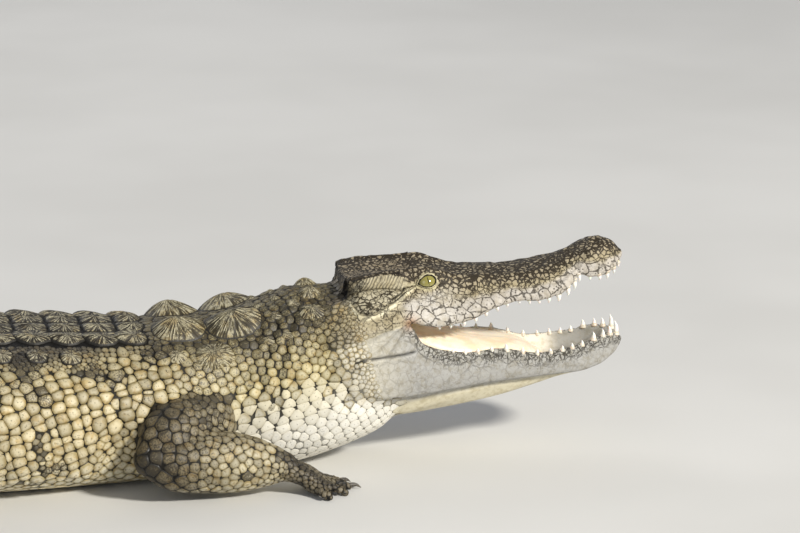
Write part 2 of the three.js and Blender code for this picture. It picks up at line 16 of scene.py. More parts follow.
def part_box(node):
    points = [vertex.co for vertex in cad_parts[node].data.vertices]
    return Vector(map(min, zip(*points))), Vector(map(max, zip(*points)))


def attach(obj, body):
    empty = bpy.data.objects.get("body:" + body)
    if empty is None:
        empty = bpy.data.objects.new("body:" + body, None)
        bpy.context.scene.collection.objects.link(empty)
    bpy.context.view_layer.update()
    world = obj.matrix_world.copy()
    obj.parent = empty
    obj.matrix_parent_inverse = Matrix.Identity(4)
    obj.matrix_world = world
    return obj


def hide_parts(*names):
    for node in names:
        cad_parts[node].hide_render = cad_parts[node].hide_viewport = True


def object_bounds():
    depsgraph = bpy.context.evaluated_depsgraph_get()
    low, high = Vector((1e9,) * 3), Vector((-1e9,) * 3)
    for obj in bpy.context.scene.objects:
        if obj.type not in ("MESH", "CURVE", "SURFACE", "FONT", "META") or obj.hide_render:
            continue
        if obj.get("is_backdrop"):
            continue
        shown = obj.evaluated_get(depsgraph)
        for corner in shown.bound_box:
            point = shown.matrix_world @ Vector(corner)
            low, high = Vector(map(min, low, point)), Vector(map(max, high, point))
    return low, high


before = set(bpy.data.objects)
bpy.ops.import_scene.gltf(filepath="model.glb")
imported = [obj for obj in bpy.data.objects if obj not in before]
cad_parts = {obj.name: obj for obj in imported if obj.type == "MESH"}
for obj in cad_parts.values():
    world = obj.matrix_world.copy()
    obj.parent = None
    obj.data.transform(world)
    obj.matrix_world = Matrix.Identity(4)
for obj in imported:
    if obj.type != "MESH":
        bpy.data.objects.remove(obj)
CAD_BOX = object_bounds()
rng = np.random.default_rng(11)

# ------------------------------------------------------------------ the solids' driving dimensions
SKULL_REAR_HEIGHT = 236.0
HEAD_PITCH = math.radians(11.5)
GAPE = math.radians(13.5)
JAW_JOINT = np.array([-25.0, 0.0, -66.0])
VENT = 930.0
TAIL_END = 2150.0
WIDEST_SHARE = 0.42
EYE_RADIUS = 13.5
EYE_CENTRE = np.array([96.5, 37.0, -30.0])
VOXEL = 3.4  # the skin's grain before the head is refined
SIDE_DEPTH, BELLY_DEPTH, SCUTE_DEPTH = 2.4, 1.0, 4.0  # how far the skin lies inside the solids
HEAD_DEPTH = 0.5
LIMB_DEPTH, TOE_DEPTH, WEB_DEPTH = 1.5, 0.8, 0.6
LOWEST_BODY, LOWEST_HIDE = 0.6, 0.35  # the skin's height over the floor, before and after sculpting


def pitch_matrix(angle):
    """Turns +X up towards +Z by the angle."""
    c, s = math.cos(angle), math.sin(angle)
    return np.array([[c, 0, -s], [0, 1, 0], [s, 0, c]])


HEAD_TURN = pitch_matrix(HEAD_PITCH)
JAW_TURN = pitch_matrix(-GAPE)
HEAD_ORIGIN = np.array([0, 0, SKULL_REAR_HEIGHT])


def head_to_body(p):
    return p @ HEAD_TURN.T + HEAD_ORIGIN


def body_to_head(p):
    return (p - HEAD_ORIGIN) @ HEAD_TURN


def jaw_to_body(p):
    return head_to_body(p @ JAW_TURN.T + JAW_JOINT)


def body_to_jaw(p):
    return (body_to_head(p) - JAW_JOINT) @ JAW_TURN


def box_centre(node):
    low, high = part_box(node)
    return (np.array(low) + np.array(high)) / 2


# The eyes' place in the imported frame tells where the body's frame lies in it.
EYES_IN_ROW = (box_centre("eye_left") + box_centre("eye_right")) / 2 * 1000
EYES_IN_BODY = head_to_body(EYE_CENTRE * [1, 0, 1])
SHIFT = EYES_IN_ROW - EYES_IN_BODY
SHIFT[2] = 0.0


def to_row(p):
    return (p + SHIFT) / 1000.0


# ------------------------------------------------------------------ curves
def profile(*points):
    """A smooth curve through (place, value) pairs that never overshoots them."""
    xs, ys = np.array(points, float).T
    h = np.diff(xs)
    d = np.diff(ys) / h
    m = np.empty_like(ys)
    m[0], m[-1] = d[0], d[-1]
    product = d[:-1] * d[1:]
    total = np.where(np.abs(d[:-1] + d[1:]) > 1e-12, d[:-1] + d[1:], 1.0)
    m[1:-1] = np.where(product > 0, 2 * product / total, 0.0)

    def at(x):
        x = np.clip(x, xs[0], xs[-1])
        i = np.clip(np.searchsorted(xs, x, side="right") - 1, 0, len(h) - 1)
        t = (x - xs[i]) / h[i]
        bend = h[i] * (m[i] * (1 - t) ** 2 * t - m[i + 1] * (1 - t) * t**2)
        return ys[i] + (ys[i + 1] - ys[i]) * (3 - 2 * t) * t**2 + bend

    return at


def mix(a, b, t):
    return a + (b - a) * t


def smoothstep(low, high, x):
    t = np.clip((x - low) / (high - low), 0, 1)
    return t * t * (3 - 2 * t)


def unit(v):
    return v / np.maximum(np.linalg.norm(v, axis=-1, keepdims=True), 1e-9)


def steps(start, end, step):
    return np.linspace(start, end, max(1, round((end - start) / step)) + 1)


def noise3(p, size, seed=0):
    """Smooth value noise in -1..1 at points p, with features of about the given size."""
    q = p / size + seed * 17.31
    cell = np.floor(q).astype(np.int64)
    f = q - cell
    f = f * f * (3 - 2 * f)
    total = np.zeros(len(p))
    for corner in range(8):
        offset = np.array([corner & 1, corner >> 1 & 1, corner >> 2 & 1])
        c = (cell + offset) & 0xFFFF
        key = (c[:, 0] * 73856093 ^ c[:, 1] * 19349663 ^ c[:, 2] * 83492791 ^ seed * 2654435761) & 0x7FFFFFFF
        key = (key ^ (key >> 13)) * 1274126177 & 0x7FFFFFFF
        value = ((key ^ (key >> 16)) & 0xFFFF) / 32767.5 - 1
        weight = np.prod(np.where(offset, f, 1 - f), axis=1)
        total += weight * value
    return total


# ------------------------------------------------------------------ the body's outline, as in the solids
half_width = profile(
    (-70, 48), (-60, 62), (-40, 73), (-10, 81), (20, 87), (70, 91), (120, 97), (210, 120), (300, 143),
    (420, 163), (540, 170), (660, 164), (780, 138), (870, 112), (930, 95), (1080, 74), (1330, 47),
    (1570, 29), (1800, 17), (2000, 9), (2150, 3),
)
back_height = profile(
    (-70, 118), (-45, 185), (-30, 205), (20, 220), (60, 219), (100, 208), (150, 193), (210, 188),
    (300, 189), (420, 194), (540, 195), (660, 190), (780, 176), (870, 161), (930, 149), (1080, 128),
    (1330, 104), (1570, 84), (1800, 62), (2000, 40), (2150, 12),
)
belly_height = profile(
    (-70, 74), (-60, 54), (-44, 38), (-15, 25), (15, 15), (50, 5), (85, -1), (130, -5), (200, -6),
    (880, -6), (960, -2), (1100, -3), (2150, -1),
)
back_roundness = profile(
    (-70, 2.1), (200, 2.2), (420, 2.4), (900, 2.5), (1200, 2.7), (1600, 2.2), (2150, 2)
)
belly_roundness = profile((-70, 2.2), (0, 2.5), (150, 2.6), (300, 2.4), (880, 2.4), (1000, 2.8), (2150, 2.8))
tail_heading_deg = profile((930, 0), (1150, 9), (1450, 27), (1750, 30), (1980, 12), (2150, -8))

LINE_STEP = 10.0
LINE_PLACES = np.arange(VENT, TAIL_END + 1e-6, LINE_STEP)
LINE_HEADINGS = np.radians(tail_heading_deg(LINE_PLACES[:-1] + LINE_STEP / 2))
LINE_X = np.concatenate([[-VENT], -VENT - np.cumsum(LINE_STEP * np.cos(LINE_HEADINGS))])
LINE_Y = np.concatenate([[0], np.cumsum(LINE_STEP * np.sin(LINE_HEADINGS))])


def along_body(s, y, z):
    """Points with side offset y and height z at places s of the middle line."""
    s, y, z = np.broadcast_arrays(np.asarray(s, float), y, z)
    heading = np.where(s > VENT, np.radians(tail_heading_deg(s)), 0.0)
    x0 = np.where(s > VENT, np.interp(s, LINE_PLACES, LINE_X), -s)
    y0 = np.where(s > VENT, np.interp(s, LINE_PLACES, LINE_Y), 0.0)
    return np.stack([x0 + y * np.sin(heading), y0 + y * np.cos(heading), z + 0 * s], axis=-1)


def signed_power(value, power):
    return np.sign(value) * np.abs(value) ** power


def hide_depth(s, turn):
    """How deep the skin lies inside the solids, to leave room for the scales."""
    back = smoothstep(0.35, 0.75, np.cos(turn))
    trunk = smoothstep(215, 260, s) * (1 - smoothstep(1000, 1400, s))
    side = mix(SIDE_DEPTH, BELLY_DEPTH, smoothstep(-0.35, -0.75, np.cos(turn)))
    return side + back * trunk * SCUTE_DEPTH


def body_point(s, turn, inset=None):
    """A point of the body at place s; turn 0 is the mid-back, and pi / 2 is the left side."""
    s, turn = np.broadcast_arrays(np.asarray(s, float), np.asarray(turn, float))
    inset = hide_depth(s, turn) if inset is None else inset
    low = belly_height(s) + inset * 0.5
    top = back_height(s) - inset
    waist = mix(low, top, WIDEST_SHARE)
    up = np.cos(turn)
    roundness = np.where(up > 0, back_roundness(s), belly_roundness(s))
    wide = np.maximum(half_width(s) - inset, 1.0)
    y = wide * signed_power(np.sin(turn), 2 / roundness)
    z = waist + np.where(up > 0, top - waist, waist - low) * signed_power(up, 2 / roundness)
    return along_body(s, y, np.maximum(z, LOWEST_BODY))


# ------------------------------------------------------------------ the head's outline
crown_height = profile(
    (-45, -32), (-8, -20), (0, -2), (42, -8), (80, -15), (99, -18), (130, -27), (173, -36), (216, -44.5),
    (250, -45), (281, -40), (307, -35), (325, -37), (338, -46), (349, -58),
)
table_half_width = profile(
    (-45, 40), (-8, 46), (0, 49), (42, 44), (82, 40), (99, 42), (120, 36), (173, 34), (216, 33), (250, 30),
    (281, 23), (307, 25), (325, 22), (338, 13), (349, 4),
)
table_height = profile(
    (-45, -34), (-8, -16), (0, 0), (42, -3), (82, -9), (99, -11), (118, -21), (140, -32), (173, -41),
    (216, -49), (250, -50), (281, -47), (307, -41), (325, -43), (338, -51), (349, -60),
)
temple_half_width = profile(
    (-45, 60), (0, 53), (42, 53), (82, 48), (99, 51), (120, 46), (173, 43), (216, 41), (250, 41), (281, 32),
    (307, 33), (325, 28), (338, 17), (349, 5),
)
temple_height = profile(
    (-45, -40), (0, -20), (42, -21), (82, -26), (99, -30), (120, -40), (173, -51), (216, -57), (250, -59),
    (281, -56), (307, -51), (325, -53), (338, -58), (349, -62),
)
lip_half_width = profile(
    (-45, 84), (-10, 90), (30, 88), (59, 84), (99, 76), (137, 68), (178, 58.5), (200, 54), (232, 52.5),
    (255, 49), (275, 40.5), (287, 34.5), (299, 36.5), (315, 36), (329, 28), (338, 19), (349, 6),
)
lip_height = profile(
    (-45, -70), (0, -66), (59, -62), (80, -71), (97, -78), (137, -81), (178, -75.5), (200, -76),
    (232, -82.5), (255, -82), (275, -74.5), (287, -68), (299, -73.5), (315, -75), (330, -74.5), (340, -71),
    (349, -66),
)
palate_rise = profile((-45, 0), (55, 1), (80, 10), (250, 11), (330, 5), (349, 1))


def head_half(x):
    """Half the head's outline at x, from the crown down over the lip to the palate."""
    lip, bottom = lip_half_width(x), lip_height(x)
    table, brow = table_half_width(x), table_height(x)
    temple, side, crown = temple_half_width(x), temple_height(x), crown_height(x)
    return np.array([
        [0, crown], [table * 0.55, mix(crown, brow, 0.45)], [table, brow], [temple, side],
        [mix(temple, lip, 0.45), mix(side, bottom, 0.32)], [mix(temple, lip, 0.86), mix(side, bottom, 0.62)],
        [lip, mix(side, bottom, 0.84)], [lip * 0.97, bottom], [lip * 0.84, bottom + 1],
        [lip * 0.6, bottom + palate_rise(x)], [0, bottom + palate_rise(x) * 1.3],
    ])


jaw_half_width = profile(
    (-42, 66), (0, 84), (40, 87), (80, 82), (103, 76), (130, 71), (162, 64), (202, 56), (254, 48),
    (279, 44), (312, 37), (338, 28), (354, 18), (362, 11), (367.5, 4),
)
rim_height = profile(
    (-42, -8), (0, 4), (25, 9), (60, 20), (80, 21), (103, -5.6), (130, -15.7), (162, -20.7), (202, -18.4),
    (254, -26), (279, -23.5), (312, -17.5), (334, -9), (352, -8), (362, -12), (367.5, -18),
)
floor_height = profile(
    (-42, -8), (60, 18), (80, 12), (103, -20), (162, -36), (254, -42), (312, -34), (338, -20), (352, -12),
    (362, -14), (367.5, -19),
)
mandible_height = profile(
    (-42, -62), (0, -76), (60, -80), (100, -76), (139, -70), (204, -62.6), (269, -57.5), (308, -55),
    (334, -49), (352, -39), (362, -30), (367.5, -20),
)
gular_height = profile(
    (-42, -100), (20, -113), (70, -111), (148, -101), (211, -89), (255, -75), (290, -62), (334, -51),
    (352, -40), (362, -31), (367.5, -21),
)


def jaw_half(x):
    """Half the lower jaw's outline at x, from the mouth's floor over the rim to the throat."""
    wide, rim, floor = jaw_half_width(x), rim_height(x), floor_height(x)
    edge, gular = mandible_height(x), gular_height(x)
    return np.array([
        [0, floor], [wide * 0.58, floor], [wide * 0.8, mix(floor, rim, 0.6)], [wide * 0.88, rim],
        [wide * 0.97, rim - 1], [wide, mix(rim, edge, 0.2)], [wide, mix(rim, edge, 0.55)],
        [wide * 0.93, mix(rim, edge, 0.9)], [wide * 0.78, edge], [wide * 0.5, mix(edge, gular, 0.8)],
        [0, gular],
    ])


tongue_half_width = profile((84, 34), (95, 52), (130, 57), (162, 53), (210, 43), (240, 33), (266, 12))
tongue_top = profile((84, 4), (95, 7), (130, -3), (177, -11.5), (228, -17), (266, -33))


def tongue_half(x):
    wide, top, floor = tongue_half_width(x), tongue_top(x), floor_height(x)
    return np.array([
        [0, top], [wide * 0.6, top - 2], [wide * 0.92, mix(top, floor, 0.3)], [wide, mix(top, floor, 0.7)],
        [wide * 0.9, floor - 4], [0, floor - 4],
    ])


LONGEST_PULL = 1.3  # a tangent's length at most, in shares of its chord


def round_outline(half, per_span):
    """A closed smooth ring through a mirrored half outline, and each point's place q along the half."""
    n = len(half)
    ring = np.concatenate([half, half[1:-1][::-1] * [-1, 1]])
    q_ring = np.concatenate([np.arange(n), np.arange(n - 2, 0, -1)]).astype(float)
    points, qs = [], []
    m = len(ring)
    t = np.arange(per_span)[:, None] / per_span
    for i in range(m):
        p0, p1, p2, p3 = ring[i - 1], ring[i], ring[(i + 1) % m], ring[(i + 2) % m]
        longest = LONGEST_PULL * np.linalg.norm(p2 - p1)
        m1, m2 = (p2 - p0) * 0.5, (p3 - p1) * 0.5
        m1 = m1 * min(1, longest / max(np.linalg.norm(m1), 1e-6))
        m2 = m2 * min(1, longest / max(np.linalg.norm(m2), 1e-6))
        h = (2 * t**3 - 3 * t**2 + 1) * p1 + (t**3 - 2 * t**2 + t) * m1
        points.append(h + (-2 * t**3 + 3 * t**2) * p2 + (t**3 - t**2) * m2)
        q1, q2 = q_ring[i], q_ring[(i + 1) % m]
        qs.append(q1 + (q2 - q1) * t[:, 0])
    return np.concatenate(points), np.concatenate(qs)


def outline_grid(half_at, places, per_span, inset):
    """Rings of an outline along X, pulled in by inset, as (rings, points, 3), and the q of each point."""
    rings, qs = [], None
    for x in places:
        ring, qs = round_outline(half_at(x), per_span)
        centre = ring.mean(axis=0)
        out = ring - centre
        ring = ring - out / np.maximum(np.linalg.norm(out, axis=1, keepdims=True), 1e-6) * inset
        rings.append(np.column_stack([np.full(len(ring), x), ring]))
    return np.array(rings), qs


# ------------------------------------------------------------------ legs, as in the solids
FORE_LEG = dict(
    upper=dict(
        path=[(-180, -88, 80), (-218, -124, 82), (-258, -158, 72)],
        girths=[(0, 42, 42), (0.5, 38, 38), (0.85, 32, 32), (1, 20, 20)],
    ),
    lower=dict(
        path=[(-266, -163, 60), (-215, -156, 47), (-160, -151, 44), (-86, -147, 33)],
        girths=[(0, 22, 22), (0.2, 34, 35), (0.55, 35, 38), (0.72, 31, 34), (0.88, 24, 25), (1, 17, 16)],
    ),
    palm=dict(
        path=[(-100, -148, 32), (-72, -147, 23), (-44, -146, 8.2)],
        girths=[(0, 17, 15), (0.5, 26, 14), (1, 29, 9)],
    ),
    toes=[
        dict(root=(-64, -128), tip=(-44, -106), radius=7.5, claw=13),
        dict(root=(-54, -138), tip=(-22, -126), radius=8, claw=14),
        dict(root=(-52, -148), tip=(-14, -147), radius=8, claw=14),
        dict(root=(-56, -158), tip=(-22, -171), radius=7.5, claw=0),
        dict(root=(-64, -168), tip=(-44, -190), radius=7, claw=0),
    ],
    web=0.3,
)
HIND_LEG = dict(
    upper=dict(
        path=[(-878, -58, 92), (-822, -128, 98), (-768, -186, 88)],
        girths=[(0, 56, 56), (0.45, 52, 54), (0.85, 36, 38), (1, 22, 24)],
    ),
    lower=dict(
        path=[(-756, -190, 78), (-828, -196, 62), (-902, -196, 30)],
        girths=[(0, 24, 24), (0.2, 36, 34), (0.5, 32, 31), (0.85, 21, 20), (1, 16, 16)],
    ),
    palm=dict(
        path=[(-912, -197, 26), (-868, -224, 18), (-826, -252, 8.2)],
        girths=[(0, 20, 18), (0.35, 25, 16), (1, 33, 9)],
    ),
    toes=[
        dict(root=(-832, -234), tip=(-782, -236), radius=8, claw=15),
        dict(root=(-826, -246), tip=(-764, -260), radius=8.5, claw=16),
        dict(root=(-828, -259), tip=(-766, -288), radius=8.5, claw=16),
        dict(root=(-838, -270), tip=(-790, -308), radius=7.5, claw=0),
    ],
    web=0.72,
)
TOE_ROOT_HEIGHT = 10.0
LEFT_FORE_SWING = math.radians(7)
LEFT_HIND_SWING = math.radians(-10)


def left_leg(leg, swing):
    """The leg's left twin, swung about its root."""
    hip = np.array(leg["upper"]["path"][0][:2]) * [1, -1]
    c, s = math.cos(-swing), math.sin(-swing)

    def place(p):
        x, y = np.array(p[:2]) * [1, -1] - hip
        return (hip[0] + c * x - s * y, hip[1] + s * x + c * y) + tuple(p[2:])

    def limb_of(part):
        return dict(path=[place(p) for p in part["path"]], girths=part["girths"])

    toes = [dict(toe, root=place(toe["root"]), tip=place(toe["tip"])) for toe in leg["toes"]]
    return dict(
        upper=limb_of(leg["upper"]), lower=limb_of(leg["lower"]), palm=limb_of(leg["palm"]),
        toes=toes, web=leg["web"],
    )


LEGS = {
    "fore_right": FORE_LEG,
    "fore_left": left_leg(FORE_LEG, LEFT_FORE_SWING),
    "hind_right": HIND_LEG,
    "hind_left": left_leg(HIND_LEG, LEFT_HIND_SWING),
}


def catmull(path, shares):
    """Points and directions at shares of the length of a centripetal spline through the path."""
    p = np.array(path, float)
    p = np.vstack([2 * p[0] - p[1], p, 2 * p[-1] - p[-2]])
    dense = []
    for i in range(1, len(p) - 2):
        t = np.linspace(0, 1, 60, endpoint=False)[:, None]
        a, b, c, d = p[i - 1], p[i], p[i + 1], p[i + 2]
        dense.append(
            0.5 * (2 * b + (c - a) * t + (2 * a - 5 * b + 4 * c - d) * t**2 + (3 * b - a - 3 * c + d) * t**3)
        )
    dense = np.vstack(dense + [p[-2:-1]])
    length = np.concatenate([[0], np.cumsum(np.linalg.norm(np.diff(dense, axis=0), axis=1))])
    at = np.asarray(shares) * length[-1]
    points = np.stack([np.interp(at, length, dense[:, k]) for k in range(3)], axis=1)
    ahead = np.stack([np.interp(at + 1, length, dense[:, k]) for k in range(3)], axis=1)
    behind = np.stack([np.interp(at - 1, length, dense[:, k]) for k in range(3)], axis=1)
    return points, unit(ahead - behind), length[-1]


def limb_grid(part, sides, shares, inset=LIMB_DEPTH):
    """Rings round a tapering limb, with round ends."""
    centres, along, _ = catmull(part["path"], shares)
    girths = np.array(part["girths"])
    wide = profile(*girths[:, [0, 1]])(shares) - inset
    deep = profile(*girths[:, [0, 2]])(shares) - inset
    across = unit(np.cross([0, 0, 1.0], along))
    up = np.cross(along, across)
    turn = np.linspace(0, 2 * np.pi, sides, endpoint=False)
    ring = across[:, None, :] * (wide[:, None] * np.cos(turn))[..., None]
    ring = ring + up[:, None, :] * (deep[:, None] * np.sin(turn))[..., None]
    return centres[:, None, :] + ring


def round_ends(grid, bulge=0.55):
    """Adds shrinking rings past both ends of a grid of rings, so that it closes in a dome."""
    def cap(ring, inner):
        centre = ring.mean(axis=0)
        out = centre - inner.mean(axis=0)
        radius = np.linalg.norm(ring - centre, axis=1).mean()
        rings = []
        for a in np.radians([25, 50, 70, 84]):
            rings.append(centre + (ring - centre) * math.cos(a) + unit(out) * radius * bulge * math.sin(a))
        return rings

    first = cap(grid[0], grid[1])[::-1]
    last = cap(grid[-1], grid[-2])
    return np.concatenate([np.array(first), grid, np.array(last)])


def web_grid(leg):
    """The skin between a foot's toes, as two stacked outlines."""
    def along(toe, share):
        return mix(np.array(toe["root"], float), np.array(toe["tip"], float), share)

    toes, reach = leg["toes"], leg["web"]
    front = [along(toes[0], reach)]
    for before, toe in zip(toes, toes[1:]):
        front.append(mix(along(before, reach * 0.6), along(toe, reach * 0.6), 0.5))
        front.append(along(toe, reach))
    back = [along(toe, -0.2) for toe in reversed(toes)]
    outline = np.array(front + back)
    rings = [np.column_stack([outline, np.full(len(outline), z)]) for z in (1 + WEB_DEPTH, 5 - WEB_DEPTH)]
    return np.array(rings)


def toe_parts(toe):
    """A toe's own limb, and its claw's centre line or None."""
    radius = toe["radius"]
    start = np.array([*toe["root"], TOE_ROOT_HEIGHT])
    end = np.array([*toe["tip"], radius * 0.4])
    back = mix(start, end, -0.25)
    knuckle = mix(start, end, 0.5)
    knuckle[2] = radius + 2
    girths = [(0, radius, radius), (0.6, radius * 0.95, radius), (1, radius * 0.55, radius * 0.5)]
    digit = dict(path=[back, knuckle, end], girths=girths)
    if not toe["claw"]:
        return digit, None
    ahead = (end - start) * [1, 1, 0]
    ahead = ahead / np.linalg.norm(ahead)
    claw = toe["claw"]
    hook = []
    for reach, height in ((-5, end[2] + 1.5), (claw * 0.5, end[2] + 2.5), (claw, 1.6)):
        point = end + ahead * reach
        point[2] = height
        hook.append(point)
    return digit, hook


# ------------------------------------------------------------------ meshes
def grid_faces(rows, columns, offset=0, closed=True):
    """Quads over a grid of rings, wound the same way all over."""
    r, c = np.meshgrid(np.arange(rows - 1), np.arange(columns if closed else columns - 1), indexing="ij")
    d = (c + 1) % columns
    quads = np.stack([r * columns + c, r * columns + d, (r + 1) * columns + d, (r + 1) * columns + c], -1)
    return quads.reshape(-1, 4) + offset


def closed_loft(grid):
    """Vertices and triangles of a closed loft, with a fan over each end."""
    rows, columns = grid.shape[:2]
    points = np.concatenate([grid.reshape(-1, 3), grid[:1].mean(axis=1), grid[-1:].mean(axis=1)])
    quads = grid_faces(rows, columns)
    i = np.arange(columns)
    j = (i + 1) % columns
    first, last = rows * columns, rows * columns + 1
    end = (rows - 1) * columns
    fans = np.concatenate([
        np.column_stack([np.full(columns, first), j, i]),
        np.column_stack([np.full(columns, last), end + i, end + j]),
    ])
    triangles = np.concatenate([quads[:, [0, 1, 2]], quads[:, [0, 2, 3]], fans])
    a, b, c = (points[triangles[:, k]] for k in range(3))
    if np.einsum("ij,ij->i", a, np.cross(b, c)).sum() < 0:
        triangles = triangles[:, ::-1]
    return points, triangles


def mesh_of(name, points, faces):
    """A mesh of triangles or quads from arrays, in the units given."""
    faces = np.ascontiguousarray(faces, dtype=np.int32)
    count, size = faces.shape
    made = bpy.data.meshes.new(name)
    made.vertices.add(len(points))
    made.vertices.foreach_set("co", np.ascontiguousarray(points, dtype=np.float32).ravel())
    made.loops.add(count * size)
    made.loops.foreach_set("vertex_index", faces.ravel())
    made.polygons.add(count)
    made.polygons.foreach_set("loop_start", np.arange(0, count * size, size, dtype=np.int32))
    made.update(calc_edges=True)
    return made


def mesh_arrays(made):
    """Points, edges and vertex normals of a mesh."""
    points = np.empty(len(made.vertices) * 3, np.float32)
    made.vertices.foreach_get("co", points)
    edges = np.empty(len(made.edges) * 2, np.int32)
    made.edges.foreach_get("vertices", edges)
    normals = np.empty(len(made.vertices) * 3, np.float32)
    made.vertex_normals.foreach_get("vector", normals)
    return points.reshape(-1, 3).astype(float), edges.reshape(-1, 2), normals.reshape(-1, 3).astype(float)


def mesh_triangles(made):
    """The vertices of each of a mesh's triangles."""
    made.calc_loop_triangles()
    corners = np.empty(len(made.loop_triangles) * 3, np.int32)
    made.loop_triangles.foreach_get("vertices", corners)
    return corners.reshape(-1, 3)


def set_points(made, points):
    made.vertices.foreach_set("co", np.ascontiguousarray(points, dtype=np.float32).ravel())
    made.update()


def spread(values, edges, rounds, weight=1.0):
    """Averages values over each vertex's neighbours, several times, as far as weight allows."""
    n = len(values)
    a, b = edges.T
    degree = np.maximum(np.bincount(a, minlength=n) + np.bincount(b, minlength=n), 1)
    flat = values.ndim == 1
    v = values[:, None].copy() if flat else values.copy()
    w = np.broadcast_to(np.asarray(weight, float), (n,))[:, None]
    for _ in range(rounds):
        mean = np.stack([
            np.bincount(a, v[b, k], minlength=n) + np.bincount(b, v[a, k], minlength=n)
            for k in range(v.shape[1])
        ], axis=1) / degree[:, None]
        v += (mean - v) * w
    return v[:, 0] if flat else v


def paint(made, name, values):
    """Stores a number or a colour at each vertex."""
    if values.ndim == 1:
        made.attributes.new(name, "FLOAT", "POINT").data.foreach_set("value", values.astype(np.float32))
        return
    rgba = np.concatenate([values, np.ones((len(values), 1))], axis=1).astype(np.float32)
    made.attributes.new(name, "FLOAT_COLOR", "POINT").data.foreach_set("color", rgba.ravel())


def paint_vector(made, name, values):
    data = made.attributes.new(name, "FLOAT_VECTOR", "POINT").data
    data.foreach_set("vector", np.ascontiguousarray(values, dtype=np.float32).ravel())


def chart(made, uv):
    """Stores the OFBake map: each vertex's place on the hide's unwrap, given to its corners."""
    corners = np.empty(len(made.loops), np.int32)
    made.loops.foreach_get("vertex_index", corners)
    layer = made.uv_layers.new(name="OFBake")
    layer.data.foreach_set("uv", np.ascontiguousarray(uv[corners], dtype=np.float32).ravel())


def show(name, made, material, nodes=()):
    """Turns a mesh in the body's frame into a piece of the row."""
    points, _, _ = mesh_arrays(made)
    set_points(made, to_row(points))
    made.polygons.foreach_set("use_smooth", np.ones(len(made.polygons), bool))
    made.materials.append(material)
    piece = bpy.data.objects.new(name, made)
    bpy.context.scene.collection.objects.link(piece)
    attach(piece, "root")
    if nodes:
        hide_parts(*nodes)


# ------------------------------------------------------------------ the skin
HEAD_PER_SPAN = 6
RING_COUNT = 96
BODY_STEP = 6.0
LIMB_GRAINS = [("upper", 40, 0.05), ("lower", 40, 0.04), ("palm", 32, 0.08)]


def flesh_lofts():
    """(label, points, triangles, q of each point) of every flesh solid, at skin depth."""
    lofts = []

    def add(label, grid, place=None, q=None):
        points, triangles = closed_loft(grid)
        points = place(points) if place else points
        q = np.zeros(grid.shape[1]) if q is None else q
        lofts.append((label, points, triangles, np.concatenate([np.tile(q, len(grid)), [0, 0]])))

    s = np.concatenate([[-70, -67, -63, -58], steps(-52, TAIL_END - 2, BODY_STEP)])
    turn = np.linspace(0, 2 * np.pi, RING_COUNT, endpoint=False)
    add("body", body_point(s[:, None], turn[None, :]))
    head_x = np.concatenate([steps(-45, 344, 3), [347, 349]])
    grid, q = outline_grid(head_half, head_x, HEAD_PER_SPAN, HEAD_DEPTH)
    add("head", grid, head_to_body, q)
    jaw_x = np.concatenate([steps(-42, 356, 3), [360, 363.5, 366, 367.5]])
    grid, q = outline_grid(jaw_half, jaw_x, HEAD_PER_SPAN, HEAD_DEPTH)
    add("jaw", grid, jaw_to_body, q)
    for name, leg in LEGS.items():
        for part, sides, step in LIMB_GRAINS:
            add(name, round_ends(limb_grid(leg[part], sides, steps(0, 1, step))))
        add(name, web_grid(leg))
        for toe in leg["toes"]:
            digit, _ = toe_parts(toe)
            add(name, round_ends(limb_grid(digit, 18, steps(0, 1, 0.1), TOE_DEPTH)))
    return lofts


def joined(lofts):
    """All lofts as one set of points and triangles, with the loft's number at each triangle."""
    points, triangles, owners, qs, start = [], [], [], [], 0
    for number, (_, p, t, q) in enumerate(lofts):
        points.append(p)
        triangles.append(t + start)
        owners.append(np.full(len(t), number))
        qs.append(q)
        start += len(p)
    return np.concatenate(points), np.concatenate(triangles), np.concatenate(owners), np.concatenate(qs)


def remeshed(points, triangles, voxel):
    """One closed skin round all the lofts."""
    rough = mesh_of("rough", points, triangles)
    holder = bpy.data.objects.new("rough", rough)
    bpy.context.scene.collection.objects.link(holder)
    modifier = holder.modifiers.new("skin", "REMESH")
    modifier.mode = "VOXEL"
    modifier.voxel_size = voxel
    graph = bpy.context.evaluated_depsgraph_get()
    made = bpy.data.meshes.new_from_object(holder.evaluated_get(graph))
    bpy.data.objects.remove(holder)
    bpy.data.meshes.remove(rough)
    made.materials.clear()
    return made


def refine(made, near):
    """Splits the faces whose corners are all picked by near(points)."""
    points, _, _ = mesh_arrays(made)
    picked = near(points)
    work = bmesh.new()
    work.from_mesh(made)
    edges = [e for e in work.edges if picked[e.verts[0].index] and picked[e.verts[1].index]]
    bmesh.ops.subdivide_edges(work, edges=edges, cuts=1, use_grid_fill=True)
    bmesh.ops.triangulate(work, faces=[f for f in work.faces if len(f.verts) > 4])
    work.to_mesh(made)
    work.free()
    return made


class Surface:
    """A triangle surface that can be asked for its nearest points."""

    def __init__(self, points, triangles):
        self.points, self.triangles = points, triangles
        self.tree = BVHTree.FromPolygons(points.tolist(), triangles.tolist(), all_triangles=True)

    def nearest(self, points):
        """The nearest surface points, normals, triangle numbers and distances."""
        place = np.empty((len(points), 3))
        normal = np.empty((len(points), 3))
        index = np.empty(len(points), int)
        distance = np.empty(len(points))
        for i, p in enumerate(points.tolist()):
            place[i], normal[i], index[i], distance[i] = self.tree.find_nearest(p)
        return place, normal, index, distance


